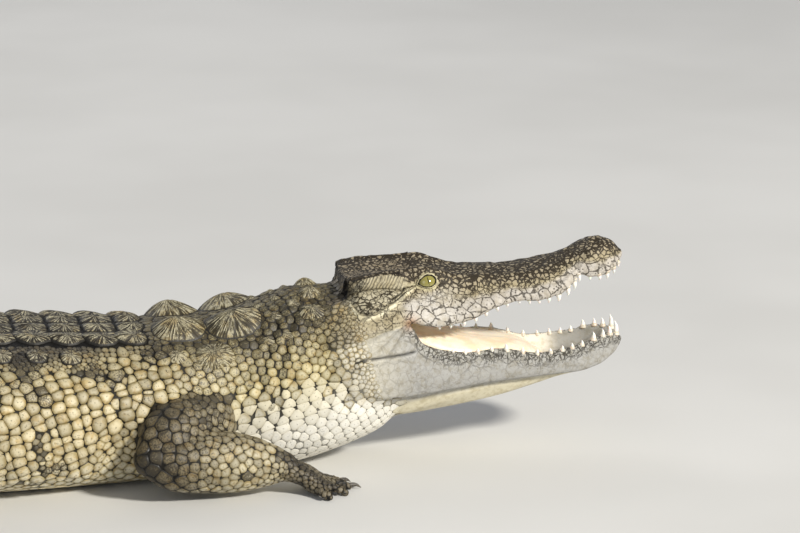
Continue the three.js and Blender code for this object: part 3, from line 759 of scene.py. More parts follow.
def body_places(points):
    """The place s along the body, and the offset to the left of the middle line, of each point."""
    line = np.column_stack([LINE_X, LINE_Y])
    s = -points[:, 0].copy()
    side = points[:, 1].copy()
    behind = np.flatnonzero(points[:, 0] < -VENT + 60)
    p = points[behind, :2]
    best = np.full(len(behind), np.inf)
    for i in range(len(line) - 1):
        a, d = line[i], line[i + 1] - line[i]
        t = np.clip(((p - a) @ d) / (d @ d), -0.5 if i == 0 else 0, 1)
        off = p - (a + t[:, None] * d)
        gap = (off**2).sum(axis=1)
        closer = gap < best
        best[closer] = gap[closer]
        s[behind[closer]] = VENT + (i + t[closer]) * LINE_STEP
        heading = np.radians(tail_heading_deg(s[behind[closer]]))
        side[behind[closer]] = off[closer, 0] * np.sin(heading) + off[closer, 1] * np.cos(heading)
    return s, side


def body_turns(s, side, z):
    """How far round the body a point lies: 0 at the mid-back, pi / 2 at the left side."""
    low, top = belly_height(s), back_height(s)
    waist = mix(low, top, WIDEST_SHARE)
    across = np.clip(side / half_width(s), -1.2, 1.2)
    rise = np.where(z > waist, (z - waist) / (top - waist), (z - waist) / (waist - low))
    roundness = np.where(z > waist, back_roundness(s), belly_roundness(s))
    return np.arctan2(signed_power(across, roundness / 2), signed_power(rise, roundness / 2))


LABELS = ["body", "head", "jaw", "fore_right", "fore_left", "hind_right", "hind_left"]
BODY, HEAD, JAW, FORE_RIGHT, FORE_LEFT, HIND_RIGHT, _ = range(7)
JOIN_SOFTNESS = 0.9


def make_skin():
    """The bare skin, smooth over every join, in the body's frame, with each point's label and q."""
    lofts = flesh_lofts()
    points, triangles, owners, qs = joined(lofts)
    flesh = Surface(points, triangles)
    made = remeshed(points, triangles, VOXEL)
    refine(made, on_front_of_head)
    place, edges, _ = mesh_arrays(made)
    place = spread(place, edges, 3, 0.5)
    snapped, _, hit, _ = flesh.nearest(place)
    blend = near_joins(owners[hit], edges)
    place = mix(snapped, place, blend[:, None] * JOIN_SOFTNESS)
    set_points(made, spread(place, edges, 12, 0.6 * blend))
    refine(made, near_eyes_or_ears)
    refine(made, near_eyes)
    place, edges, _ = mesh_arrays(made)
    _, _, hit, _ = flesh.nearest(place)
    label_of = np.array([LABELS.index(label) for label, *_ in lofts])
    q = spread(qs[triangles[hit]].mean(axis=1), edges, 2, 0.5)
    return made, label_of[owners[hit]], q


def near_joins(owner, edges):
    """How near each point lies to a join between two lofts, from 0 to 1."""
    border = np.zeros(len(owner))
    a, b = edges.T
    differs = owner[a] != owner[b]
    border[a[differs]] = 1
    border[b[differs]] = 1
    return np.clip(spread(border, edges, 6) * 5, 0, 1)


def on_front_of_head(points):
    return (body_to_head(points)[:, 0] > -20) & (points[:, 2] > 60)


def near_eyes(points):
    h = body_to_head(points)
    return np.linalg.norm(np.abs(h) * [1, 1, -1] - EYE_CENTRE, axis=1) < 27


def near_eyes_or_ears(points):
    h = body_to_head(points)
    ear = (np.abs(h[:, 1]) > 33) & (np.abs(h[:, 0] - 36) < 50) & (np.abs(h[:, 2] + 22) < 27)
    return ear | near_eyes(points)


def sculpt(made, label, q):
    """Gives the bare skin its folds, lids, ears, lips and hollows."""
    place, _, normals = mesh_arrays(made)
    near = body_to_head(place)[:, 0] > -60
    turned = normals @ HEAD_TURN
    h = open_lids(sculpt_head(body_to_head(place), turned, q, label))
    shaped = np.where(near[:, None], head_to_body(h), place)
    inner = sculpt_jaw(body_to_jaw(shaped), turned @ JAW_TURN, q, label)
    shaped = np.where((label == JAW)[:, None], jaw_to_body(inner), shaped)
    shaped = sculpt_body(shaped, normals, label)
    shaped[:, 2] = np.maximum(shaped[:, 2], LOWEST_HIDE)
    set_points(made, shaped)


# ------------------------------------------------------------------ scales: where they sit
NAPE_PLATES = [  # each pair's place along the body and to the side, length, width and height
    (42, 21, 30, 26, 10), (45, 50, 34, 26, 10), (66, 36, 20, 16, 5),
    (140, 36, 72, 66, 19), (208, 36, 70, 64, 18), (168, 80, 52, 40, 11),
    (90, 46, 15, 14, 5), (78, 69, 14, 13, 4), (102, 70, 15, 13, 4.5),
    (99, 94, 15, 14, 4), (214, 84, 26, 22, 6), (112, 20, 17, 15, 5), (88, 16, 15, 14, 4.5),
]
CREST_FROM, SINGLE_CREST_FROM = 975.0, 1560.0
crest_height = profile((960, 6), (1150, 13), (1450, 24), (1560, 30), (1850, 32), (2050, 22), (2150, 9))
crest_spread = profile((960, 0.66), (1250, 0.6), (1560, 0.3))
crest_step = profile((960, 37), (1560, 34), (2150, 23))
dorsal_reach = profile((232, 104), (300, 112), (540, 116), (800, 104), (930, 88), (1000, 74))
belly_reach = profile(
    (-60, 60), (100, 100), (232, 128), (540, 150), (800, 128), (930, 92), (1200, 56), (1560, 28), (2150, 6)
)
DORSAL_STEP = 42.0
OUTER_SCUTES_FROM = 330.0
FLANK_STEP = 15.5
FLANK_PITCH = 12.8
BELLY_STEP = 21.0
TURNS = np.linspace(0, np.pi, 181)


def arc_table(s):
    """The distance from the mid-back round to each of TURNS."""
    ring = body_point(s, TURNS)
    return np.concatenate([[0], np.cumsum(np.linalg.norm(np.diff(ring, axis=0), axis=1))])


def side_turn(s, share):
    """The turn at which the back lies share of the half width off the middle."""
    return np.arcsin(signed_power(share, back_roundness(s) / 2))


def forward_at(s):
    """The direction towards the head along the body."""
    heading = np.where(s > VENT, np.radians(tail_heading_deg(s)), 0.0)
    return np.stack([np.cos(heading), -np.sin(heading), np.zeros_like(heading)], axis=-1)


def crest_places():
    """The places along the tail where its upright scutes stand."""
    places, s = [], CREST_FROM
    while s < TAIL_END - 14:
        places.append(s)
        s += float(crest_step(s))
    return places


SKIN_SLACK = 4.0
DORSAL, DOME, PLATE, BEAD, WHORL = range(5)


class Scales:
    """Scales gathered zone by zone. Each has a place, a facing, a size, a kind and a weight."""

    FIELDS = ("place", "forward", "normal", "length", "width", "height", "weight", "kind")

    def __init__(self, surface):
        self.surface = surface
        self.rows = {field: [] for field in self.FIELDS}

    def all(self, field):
        return np.concatenate(self.rows[field])

    def add(self, kind, place, forward, length, width, height, weight=0.0, clear=0.0):
        """Adds scales of one kind where the skin is near and earlier scales leave room."""
        n = len(place)
        if not n:
            return
        snapped, normal, _, gap = self.surface.nearest(place)
        keep = gap < SKIN_SLACK
        size = np.broadcast_to((np.asarray(length) + width) / 2, (n,))
        if self.rows["place"]:
            tree = tree_of(self.all("place"))
            sizes = (self.all("length") + self.all("width")) / 2
            for i in np.flatnonzero(keep):
                for _, j, distance in tree.find_n(snapped[i], 3):
                    if distance < clear * (size[i] + sizes[j]) / 2:
                        keep[i] = False
                        break
        fields = dict(
            place=snapped, forward=np.broadcast_to(forward, (n, 3)), normal=normal,
            length=np.broadcast_to(length, (n,)), width=np.broadcast_to(width, (n,)),
            height=np.broadcast_to(height, (n,)), weight=np.broadcast_to(weight, (n,)),
            kind=np.full(n, kind),
        )
        for field in self.FIELDS:
            self.rows[field].append(np.array(fields[field])[keep])


def tree_of(points):
    tree = KDTree(len(points))
    for i, p in enumerate(points):
        tree.insert(p, i)
    tree.balance()
    return tree


def add_body_row(scales, kind, s, arcs, length, width, height, jitter=0.0, weight=0.0, clear=0.5, slant=0.0):
    """Scales at the given distances from the mid-back, on both sides of one ring of the body."""
    table = arc_table(s)
    arcs = np.asarray(arcs, float)
    n = len(arcs) * 2
    at = np.concatenate([arcs, arcs]) + rng.normal(0, jitter, n)
    turn = np.interp(at, table, TURNS) * np.repeat([1, -1], len(arcs))
    places = s + slant * (at - at[:1]) + rng.normal(0, jitter, n)
    weights = np.broadcast_to(weight, (n,)) + rng.normal(0, jitter * 12, n)
    scales.add(
        kind, body_point(places, turn), forward_at(places), length, width, height, weights, clear=clear
    )


def lay_body_scales(scales):
    """The scales in rows: the back's scutes, the tail's whorls, the belly's plates, the flanks, the neck."""
    lay_dorsal_scutes(scales)
    lay_whorls(scales)
    for s in np.arange(238, 965, BELLY_STEP):
        half = arc_table(s)[-1]
        arcs = np.arange(half - 10, half - float(belly_reach(s)), -20)
        add_body_row(scales, PLATE, s, arcs, BELLY_STEP, 20, 1.1, 0.35)
    lay_flank_scales(scales)
    lay_neck_scales(scales)


def lay_dorsal_scutes(scales):
    for s in np.arange(262, VENT + 20, DORSAL_STEP):
        reach = float(dorsal_reach(s))
        count = 2 if s < OUTER_SCUTES_FROM else 3
        columns = np.array([0.16, 0.48, 0.82])[:count] * reach
        heights = np.tile([6.5, 7.5, 6.0][:count], 2)
        add_body_row(scales, DORSAL, s, columns, DORSAL_STEP, reach * 0.34, heights, weight=220.0)


def lay_whorls(scales):
    """Rings of scales round the tail, one to each upright scute, with plates below."""
    for s in crest_places():
        step, table = float(crest_step(s)), arc_table(s)
        double = float(np.interp(side_turn(s, float(crest_spread(s))), TURNS, table))
        crest = 2.0 if s >= SINGLE_CREST_FROM else double
        if crest > 15:
            add_body_row(scales, DORSAL, s, [crest * 0.42], step, crest * 0.75, 3.0)
        belly = table[-1] - float(belly_reach(s))
        wanted = np.interp(s, [950, 2150], [21, 9])
        width = np.clip((belly - crest) / round((belly - crest) / wanted), 6, 30)
        outer = np.arange(crest + width * 0.75, belly, width)
        add_body_row(scales, WHORL, s, outer, step, width, 1.7, 0.3)
        under = np.arange(table[-1] - width * 0.5, belly + width * 0.3, -width)
        add_body_row(scales, PLATE, s, under, step, width, 1.2, 0.3)


def lay_flank_scales(scales):
    """Slanting rows of domed scales between the scutes and the belly, some of them raised as knobs."""
    for s in np.arange(236, 975, FLANK_STEP):
        table = arc_table(s)
        start, end = float(dorsal_reach(s)) + 8, table[-1] - float(belly_reach(s)) + 4
        if s < OUTER_SCUTES_FROM - DORSAL_STEP / 2:
            start = float(dorsal_reach(s)) * 0.76
        arcs = np.arange(start + (0.5 * s) % FLANK_PITCH, end, FLANK_PITCH)
        arcs = arcs[~granular(body_point(s, np.interp(arcs, table, TURNS))) | (s < 300)]
        knob = rng.uniform(size=2 * len(arcs)) < 0.45
        heights, weights = np.where(knob, 3.8, 2.3), np.where(knob, 38.0, -20.0)
        add_body_row(scales, DOME, s, arcs, FLANK_STEP * 1.4, 19, heights, 1.5, weights, slant=-0.2)


NECK_ZONES = [  # from and to in shares of half the girth, spacing along and round, slant, height, kind
    (0.0, 0.42, 1.0, 1.05, -0.25, 1.15, DOME),
    (0.42, 0.62, 0.92, 1.75, -0.6, 1.0, DOME),
    (0.62, 1.0, 1.5, 1.4, -0.4, 0.75, PLATE),
]
neck_grain = profile((-60, 7.0), (20, 8.6), (110, 10.5), (232, 11.5))


def lay_neck_scales(scales):
    """Fine ovals on the neck's top, slanting long scales on its side and broad flat ones on the throat."""
    for start, end, along, across, slant, height, kind in NECK_ZONES:
        s, row = -56.0, 0
        while s < 236:
            grain = float(neck_grain(s))
            width, half = grain * across, arc_table(s)[-1]
            arcs = np.arange(half * start + width * (0.25 + 0.5 * (row % 2)), half * end, width)
            knob = (rng.uniform(size=2 * len(arcs)) < 0.07) * (kind == DOME)
            add_body_row(
                scales, kind, s, arcs, grain * 2.2, grain * 2.2, height + knob * 1.2, grain * 0.07,
                knob * 20.0, 0.24, slant,
            )
            s += grain * along
            row += 1


GRANULES_FROM = 300.0  # the distance behind the head where patches of granules begin
GRANULE_SIZE = 4.7


def granular(points):
    """Where patches of small granules break up the flank's scales."""
    return noise3(points * [1, 0, 0.6] + [0, 1, 0] * np.abs(points), 26, 62) > 0.4


CELL = 16.0  # the side of the boxes in which scattered scales look for their neighbours
CELLS_AROUND = [(i, j, k) for i in (0, -1, 1) for j in (0, -1, 1) for k in (0, -1, 1)]
CROWDING = 0.42  # how near two scales may come, in shares of the sum of their sizes


class Crowd:
    """Places with sizes, kept in boxes, which can be asked whether a new one would crowd them."""

    def __init__(self):
        self.boxes = {}

    def put(self, p, size):
        box = (int(p[0] // CELL), int(p[1] // CELL), int(p[2] // CELL))
        self.boxes.setdefault(box, []).append((*p, size))

    def crowds(self, p, size):
        x, y, z = p
        i, j, k = int(x // CELL), int(y // CELL), int(z // CELL)
        for di, dj, dk in CELLS_AROUND:
            for a, b, c, other in self.boxes.get((i + di, j + dj, k + dk), ()):
                gap = CROWDING * (size + other)
                if (x - a) ** 2 + (y - b) ** 2 + (z - c) ** 2 < gap * gap:
                    return True
        return False


def scatter(points, sizes, taken, taken_sizes):
    """Picks points in order, each one clear of those taken before it."""
    crowd = Crowd()
    for p, size in zip(taken.tolist(), taken_sizes.tolist()):
        crowd.put(p, min(size, 2 * CELL))
    kept = []
    for number, (p, size) in enumerate(zip(points.tolist(), sizes.tolist())):
        if not crowd.crowds(p, size):
            crowd.put(p, size)
            kept.append(number)
    return np.array(kept, int)


# ------------------------------------------------------------------ scales: their shape
# Each kind's rings lie at RINGS, in shares of its reach, and stand at RISE, in shares of its height.
ROUNDNESS = {DORSAL: 10, DOME: 15, PLATE: 18, BEAD: 12, WHORL: 15}
SIDES = {DORSAL: 32, DOME: 12, PLATE: 12, BEAD: 8, WHORL: 16}
RINGS = {
    DORSAL: [0.12, 0.3, 0.5, 0.7, 0.87, 0.97, 1.03],
    DOME: [0.34, 0.62, 0.85, 0.96, 1.03],
    PLATE: [0.6, 0.9, 0.965, 1.04],
    BEAD: [0.5, 0.82, 0.95, 1.04],
    WHORL: [0.3, 0.6, 0.88, 0.98, 1.03],
}
RISE = {
    DORSAL: [1.0, 1.0, 1.0, 0.97, 0.9, 0.76, 0.42, -0.4],
    DOME: [1.0, 0.96, 0.86, 0.64, 0.42, -0.3],
    PLATE: [1.0, 1.0, 0.88, 0.5, -0.5],
    BEAD: [1.0, 0.88, 0.6, 0.34, -0.4],
    WHORL: [1.0, 1.0, 0.97, 0.84, 0.42, -0.4],
}
GROOVE = {DORSAL: 0.3, DOME: -0.75, PLATE: -0.6, BEAD: -0.5, WHORL: 0.0}
PATCH = 0.0015  # half of a small scale's patch on the unwrap
BODY_CHART = 2300.0  # millimetres of the body to one unit of the unwrap
LEG_CHART = 1000.0
HEAD_CHART = 900.0
LEG_CORNERS = {
    "fore_right": (0.05, 0.22), "fore_left": (0.55, 0.22),
    "hind_right": (0.05, 0.75), "hind_left": (0.55, 0.75),
}
CHART_START = (0.02, 0.5)  # where the neck's front and the mid-back lie on the unwrap
SMALLEST_REACH = 1.2
LARGEST_SHARE = 0.72  # how far a scale reaches at most, in shares of its length or width
UNEVEN = 0.02


def unwrap(points, label, q):
    """Places on an unwrap of the hide: the body rolled out from the mid-back, legs along their bones."""
    s, side = body_places(points)
    turn = body_turns(s, side, points[:, 2])
    places = np.arange(-60.0, 2160, 20)
    girth = np.interp(s, places, [arc_table(at)[-1] for at in places])
    uv = chart_place(s, turn / np.pi * girth)
    on_head = head_or_jaw(label)
    h = body_to_head(points[on_head])
    uv[on_head] = np.column_stack([0.3 + h[:, 0] / HEAD_CHART, 0.5 + np.sign(h[:, 1]) * q[on_head] * 0.045])
    for name, corner in LEG_CORNERS.items():
        pick = label == LABELS.index(name)
        if pick.any():
            uv[pick] = corner + leg_unwrap(points[pick], LEGS[name]) / LEG_CHART
    return uv


def chart_place(s, arc):
    """The place on the unwrap of a point at s along the body and arc round from the mid-back."""
    return np.stack([CHART_START[0] + (s + 80) / BODY_CHART, CHART_START[1] + arc / BODY_CHART], axis=-1)


def head_or_jaw(label):
    return (label == HEAD) | (label == JAW)


def foreleg(label):
    return (label == FORE_RIGHT) | (label == FORE_LEFT)


def leg_unwrap(points, leg):
    """Millimetres along a leg and round it."""
    path = [*leg["upper"]["path"], *leg["lower"]["path"][1:], *leg["palm"]["path"][1:]]
    centres, along, length = catmull(path, np.linspace(0, 1, 80))
    nearest = np.linalg.norm(points[:, None] - centres, axis=2).argmin(axis=1)
    across = unit(np.cross([0, 0, 1.0], along))
    up = np.cross(along, across)
    away = points - centres[nearest]
    off = np.einsum("nk,nk->n", away, along[nearest])
    turn = np.arctan2(np.einsum("nk,nk->n", away, up[nearest]), np.einsum("nk,nk->n", away, across[nearest]))
    return np.column_stack([nearest / 79 * length + off, turn * 36])


def cell_radii(data, order, forward, side, angles, roundness):
    """How far each scale reaches in every direction before it meets its neighbours."""
    near = data["near"][order]
    away = data["place"][near] - data["place"][order][:, None]
    u = np.einsum("nmk,nk->nm", away, forward)
    v = np.einsum("nmk,nk->nm", away, side)
    d = np.maximum(np.hypot(u, v), 0.5)
    border = (d**2 + data["weight"][order][:, None] - data["weight"][near]) / (2 * d)
    facing = np.einsum("nmk,nk->nm", data["normal"][near], data["normal"][order])
    border = np.where(facing > 0.1, np.maximum(border, SMALLEST_REACH), 1e3)
    cosine = (u[..., None] * np.cos(angles) + v[..., None] * np.sin(angles)) / d[..., None]
    total = ((np.maximum(cosine, 0) / border[..., None]) ** roundness).sum(axis=1)
    longest, widest = (data[field][order][:, None] * LARGEST_SHARE for field in ("length", "width"))
    limit = np.hypot(np.cos(angles) / longest, np.sin(angles) / widest)
    return (total + limit**roundness) ** (-1 / roundness)


def scale_relief(data, order, kind, u, v):
    """How high each point of the scales stands over its foot, and how high their middles stand."""
    rho = np.array(RINGS[kind])[None, :, None]
    length, width, height = (data[field][order][:, None, None] for field in ("length", "width", "height"))
    lift = height * np.array(RISE[kind])[None, 1:, None] * np.ones_like(u)
    top = height[:, 0]
    if kind == DORSAL:
        slope = np.clip(0.55 - u / length, 0, 1.05)
        keel = np.exp(-((v / (0.15 * width)) ** 2)) * slope * np.maximum(1 - rho**4, 0)
        streak = rng.uniform(-1, 1, (len(order), 1, u.shape[2])) * np.sin(np.pi * np.minimum(rho, 1))
        lift = lift * 0.5 + keel * height * 0.75 + streak * 0.55
        top = top * (0.5 + 0.55 * 0.75)
    if kind == WHORL:
        lift = lift + np.exp(-((v / (0.2 * width)) ** 2)) * 0.5 * np.maximum(1 - rho**3, 0)
    tilt = -0.1 * u / np.maximum(length, 1) * height * (rho < 1)
    return lift + tilt, top


def drop_to_skin(rim, normal, surface):
    """How far the skin lies over each point of the scales' rims; negative where it falls away."""
    on_skin, _, _, gap = surface.nearest(rim.reshape(-1, 3))
    drop = np.einsum("nck,nk->nc", on_skin.reshape(rim.shape) - rim, normal)
    return np.clip(np.where(gap.reshape(drop.shape) < 6, drop, -3.0), -6, 3)


def scale_group(data, pick, kind, surface):
    """All picked scales of one kind: points, triangles, form, uv, each point's scale, and streaks."""
    order = np.flatnonzero(pick)
    count, rho = SIDES[kind], np.array(RINGS[kind])
    angles = (np.arange(count) + 0.5) * 2 * np.pi / count
    place, normal = data["place"][order], data["normal"][order]
    forward = unit(data["forward"][order] - normal * np.sum(data["forward"][order] * normal, axis=1)[:, None])
    side = np.cross(normal, forward)
    radii = cell_radii(data, order, forward, side, angles, ROUNDNESS[kind])
    radii = np.maximum(radii - GROOVE[kind] / 2, SMALLEST_REACH)
    radii *= 1 + rng.normal(0, UNEVEN, radii.shape)
    flat = radii[:, None, :] * rho[None, :, None]
    u, v = flat * np.cos(angles), flat * np.sin(angles)
    lift, top = scale_relief(data, order, kind, u, v)
    base = place[:, None, None, :] + u[..., None] * forward[:, None, None, :]
    base = base + v[..., None] * side[:, None, None, :]
    drop = drop_to_skin(base[:, -2, :, :], normal, surface)
    lift = lift + drop[:, None, :] * ((rho / rho[-2]) ** 2)[None, :, None]
    points = base + lift[..., None] * normal[:, None, None, :]
    centre = place + normal * top
    n, rings = len(order), len(rho)
    block = np.concatenate([centre[:, None, :], points.reshape(n, rings * count, 3)], axis=1)
    form, uv, spoke = scale_marks(data, order, kind, angles, rho)
    triangles = fan_faces(count, rings, n)
    return block.reshape(-1, 3), triangles, form, uv, np.repeat(order, 1 + rings * count), spoke


def scale_marks(data, order, kind, angles, rho):
    """Each point's form (its share of the way to the rim, and chance), its uv and where streaks run."""
    count = len(angles)
    n, per = len(order), 1 + len(rho) * count
    form = np.zeros((n, per, 3))
    large = smoothstep(4.6, 8.0, (data["length"] + data["width"])[order] / 2)
    form[:, :, 0] = np.concatenate([[0], np.repeat(rho, count)]) * mix(0.93, 1.0, large)[:, None]
    form[:, :, 2] = rng.uniform(0, 1, n)[:, None]
    patch = data["width"][order] * 0.45 / BODY_CHART if kind in (DORSAL, WHORL) else np.full(n, PATCH)
    spot = np.stack([np.cos(angles), np.sin(angles)], axis=-1)
    local = np.zeros((n, per, 2))
    local[:, 1:] = (rho[:, None, None] / rho[-1] * spot).reshape(1, -1, 2)
    uv = data["uv"][order][:, None, :] + local * patch[:, None, None]
    spoke = spokes(local, form[:, :, 2]) if kind == DORSAL else None
    return form.reshape(-1, 3), uv.reshape(-1, 2), spoke


def fan_faces(count, rings, copies):
    """The triangles of blocks that each are a centre point and rings of count points round it."""
    i = np.arange(count)
    j = (i + 1) % count
    one = [np.column_stack([np.zeros(count, int), 1 + i, 1 + j])]
    for r in range(rings - 1):
        a, b = 1 + r * count + i, 1 + r * count + j
        one += [np.column_stack([a, a + count, b + count]), np.column_stack([a, b + count, b])]
    one = np.concatenate(one)
    per = 1 + rings * count
    return (one[None] + (np.arange(copies) * per)[:, None, None]).reshape(-1, 3)


def spokes(local, chance, rays=8.0):
    """Coordinates in which a noise turns into streaks that run out from the middle."""
    radius = np.linalg.norm(local, axis=-1)
    around = local / np.maximum(radius, 0.05)[..., None] * rays
    return np.concatenate([around + chance[..., None] * 90, radius[..., None] * 1.3], axis=-1).reshape(-1, 3)


def lay_scales(points, label, surface):
    """All scales, zone by zone from the back's scutes to the smallest beads, as one table."""
    scales = Scales(surface)
    lay_body_scales(scales)
    chosen = np.flatnonzero(wants_scatter(points, label))
    chosen = chosen[rng.permutation(len(chosen))]
    size = scattered_sizes(points[chosen], label[chosen])
    chosen, size = chosen[size > 0], size[size > 0]
    taken_sizes = (scales.all("length") + scales.all("width")) / 2
    taken_sizes = taken_sizes * np.where(scales.all("kind") == DORSAL, 0.66, 0.82)
    kept = scatter(points[chosen], size, scales.all("place"), taken_sizes)
    chosen, size = chosen[kept], size[kept]
    place = points[chosen]
    forward = leg_forward(place, label[chosen])
    small = size < 8.5
    for kind, pick in ((BEAD, small), (DOME, ~small)):
        height = np.clip(size[pick] * 0.12, 0.8, 1.9)
        scales.add(kind, place[pick], forward[pick], size[pick] * 1.35, size[pick] * 1.25, height)
    return scales


def wants_scatter(points, label):
    """Where scattered scales may lie: on the legs, the body's front part and the rear of the cheeks."""
    h = body_to_head(points)
    cheek_edge = mix(-6, 4, smoothstep(-40, -56, h[:, 2])) + 5 * noise3(points, 14, 61)
    cheek = head_or_jaw(label) & (h[:, 0] < cheek_edge)
    wanted = (label >= FORE_RIGHT) | ((label == BODY) & (points[:, 0] > -VENT - 260)) | cheek
    return wanted & (points[:, 2] >= 4) & ~on_back(points, 0.6)


def scattered_sizes(points, label):
    """The sizes of scattered scales, 0 where a plate of the nape lies."""
    flesh = label == BODY
    granules = flesh & granular(points) & (points[:, 0] < -GRANULES_FROM)
    size = np.where(flesh, body_grain(points), leg_grain(points, label))
    size = np.where(flesh & on_back(points, 1.04), 6.4, size)
    size = np.where(granules, GRANULE_SIZE, size)
    head_x = body_to_head(points)[:, 0]
    size = np.where(head_or_jaw(label), mix(6.8, 4.6, smoothstep(-24, 0, head_x)), size)
    size = size * rng.uniform(0.75, 1.3, len(points))
    for place, reach in plate_footprints():
        size = np.where(np.hypot(*(points[:, :2] - place[:2]).T) < reach, 0, size)
    return size


def on_back(points, share):
    """Where the dorsal scutes lie, out to a share of their reach from the mid-back."""
    s, side = body_places(points)
    turn = np.abs(body_turns(s, side, points[:, 2]))
    places = np.arange(232.0, 1000.0, 24)
    edge = [np.interp(float(dorsal_reach(at)), arc_table(at), TURNS) for at in places]
    return (turn < share * np.interp(s, places, edge)) & (s > 246) & (s < 1000) & (points[:, 2] > 90)


def plate_footprints():
    """The middle and the rough radius of each plate of the nape."""
    for s, side, length, width, _ in NAPE_PLATES:
        for y in (side, -side):
            turn = side_turn(s, y / half_width(s))
            yield body_point(np.array(s), turn), 0.5 * math.sqrt(length * width)


def leg_grain(points, label):
    """The size of the scales on a leg: large on the thick parts and small on the feet."""
    foot = smoothstep(45, 18, points[:, 2]) * smoothstep(6, 14, points[:, 2] + 14)
    fore = foreleg(label)
    front = np.where(fore, smoothstep(-150, -95, points[:, 0]), smoothstep(-900, -870, points[:, 0]) * foot)
    upper = np.where(fore, smoothstep(-205, -250, points[:, 0]), 0.4)
    return mix(mix(10.4, 17.0, upper), 5.4, np.maximum(front, 0) * smoothstep(60, 30, points[:, 2]))


def body_grain(points):
    """The size of the scattered scales on the neck and trunk."""
    return np.interp(-points[:, 0], [-60, 60, 232, 300], [6.4, 7.6, 9.6, 10.4])


def leg_forward(points, label):
    """Scales on a leg point up the limb; elsewhere they point towards the head."""
    forward = np.tile([1.0, 0.0, 0.0], (len(points), 1))
    leg = label >= FORE_RIGHT
    inwards = -np.sign(points[leg, 1])
    forward[leg] = unit(np.column_stack([0.3 + 0 * inwards, 0.5 * inwards, 0.8 + 0 * inwards]))
    return forward


NEIGHBOURS = 16


def scale_table(scales):
    """All scales' fields, with the nearest neighbours of each, but none in the hollow behind the table."""
    data = {field: scales.all(field) for field in Scales.FIELDS}
    x, y, z = body_to_head(data["place"]).T
    clear = (oval(x, z, *HOLLOW) > 0.9) | (np.abs(y) < 30)
    data = {field: values[clear] for field, values in data.items()}
    tree = tree_of(data["place"])
    nearest = [tree.find_n(p, NEIGHBOURS + 1)[1:] for p in data["place"]]
    data["near"] = np.array([[number for _, number, _ in found] for found in nearest])
    return data


REGIONS = ["neck", "shoulders", "trunk", "loins", "tail_base", "tail_end", "fore_legs", "hind_legs"]
REGION_ENDS = [170, 330, 600, 960, 1560]
TAIL_BASE, FORE_LEGS, HIND_LEGS = 4, 6, 7


def regions_of(points, label):
    """Which region of REGIONS each scale belongs to."""
    s, _ = body_places(points)
    region = np.searchsorted(REGION_ENDS, s)
    region[foreleg(label)] = FORE_LEGS
    region[label >= HIND_RIGHT] = HIND_LEGS
    return region


def region_arrays(data, pick, kinds, surface):
    """The joined arrays of all picked scales of the given kinds."""
    blocks, start = [], 0
    for kind in kinds:
        chosen = pick & (data["kind"] == kind)
        if chosen.any():
            points, triangles, form, uv, seed, spoke = scale_group(data, chosen, kind, surface)
            blocks.append((points, triangles + start, form, uv, seed, spoke))
            start += len(points)
    return [np.concatenate(column) if column[0] is not None else None for column in zip(*blocks)]


# ------------------------------------------------------------------ the nape's plates and the tail's crest
def chart_patch(s, arc, offsets):
    """A patch at its true size at one place of the body's unwrap."""
    return chart_place(float(s), arc) + offsets / BODY_CHART


PLATE_SIDES = 112
PLATE_SINK = 0.4
PLATE_RINGS = np.array([0.07, 0.16, 0.27, 0.39, 0.52, 0.65, 0.77, 0.87, 0.95, 1.0, 1.03])
SQUARENESS = 2.6  # the power of a plate's rounded outline: 2 would be an oval


def plate_shape(s, y, length, width, height):
    """A raised plate: offsets along and across it, and how high it stands; its last ring is buried."""
    rho, angles = PLATE_RINGS, np.arange(PLATE_SIDES) * 2 * np.pi / PLATE_SIDES
    spots = np.column_stack([angles * 3, np.full(PLATE_SIDES, s), np.full(PLATE_SIDES, y)])
    wobble = 1 + 0.05 * noise3(spots, 1.4)
    power = np.abs(np.cos(angles)) ** SQUARENESS + np.abs(np.sin(angles)) ** SQUARENESS
    square = power ** (-1 / SQUARENESS) * wobble
    u = rho[:, None] * square * np.cos(angles) * length * 0.5
    v = rho[:, None] * square * np.sin(angles) * width * 0.5
    dome = (np.maximum(1 - np.minimum(rho, 1) ** 1.5, 0) ** 0.85)[:, None]
    keel = np.exp(-((v / (0.13 * width)) ** 2)) * np.clip(0.75 - 1.0 * u / length, 0, 1.1)
    ridges = 9 if length < 25 else 28
    wave = np.abs(np.sin(angles * ridges * 0.5 + 0.9 * np.sin(angles * 3 + s)))[None, :]
    shape = np.sin(np.pi * np.minimum(rho, 1) ** 1.2)[:, None]
    lift = height * (0.74 * dome + 0.34 * keel * dome) + (wave - 0.5) * shape * min(height * 0.1, 1.1)
    lift[-1] = -3.0
    rim = np.stack([rho[:, None] * np.cos(angles), rho[:, None] * np.sin(angles)], axis=-1)
    return u, v, lift, rim.reshape(-1, 2)


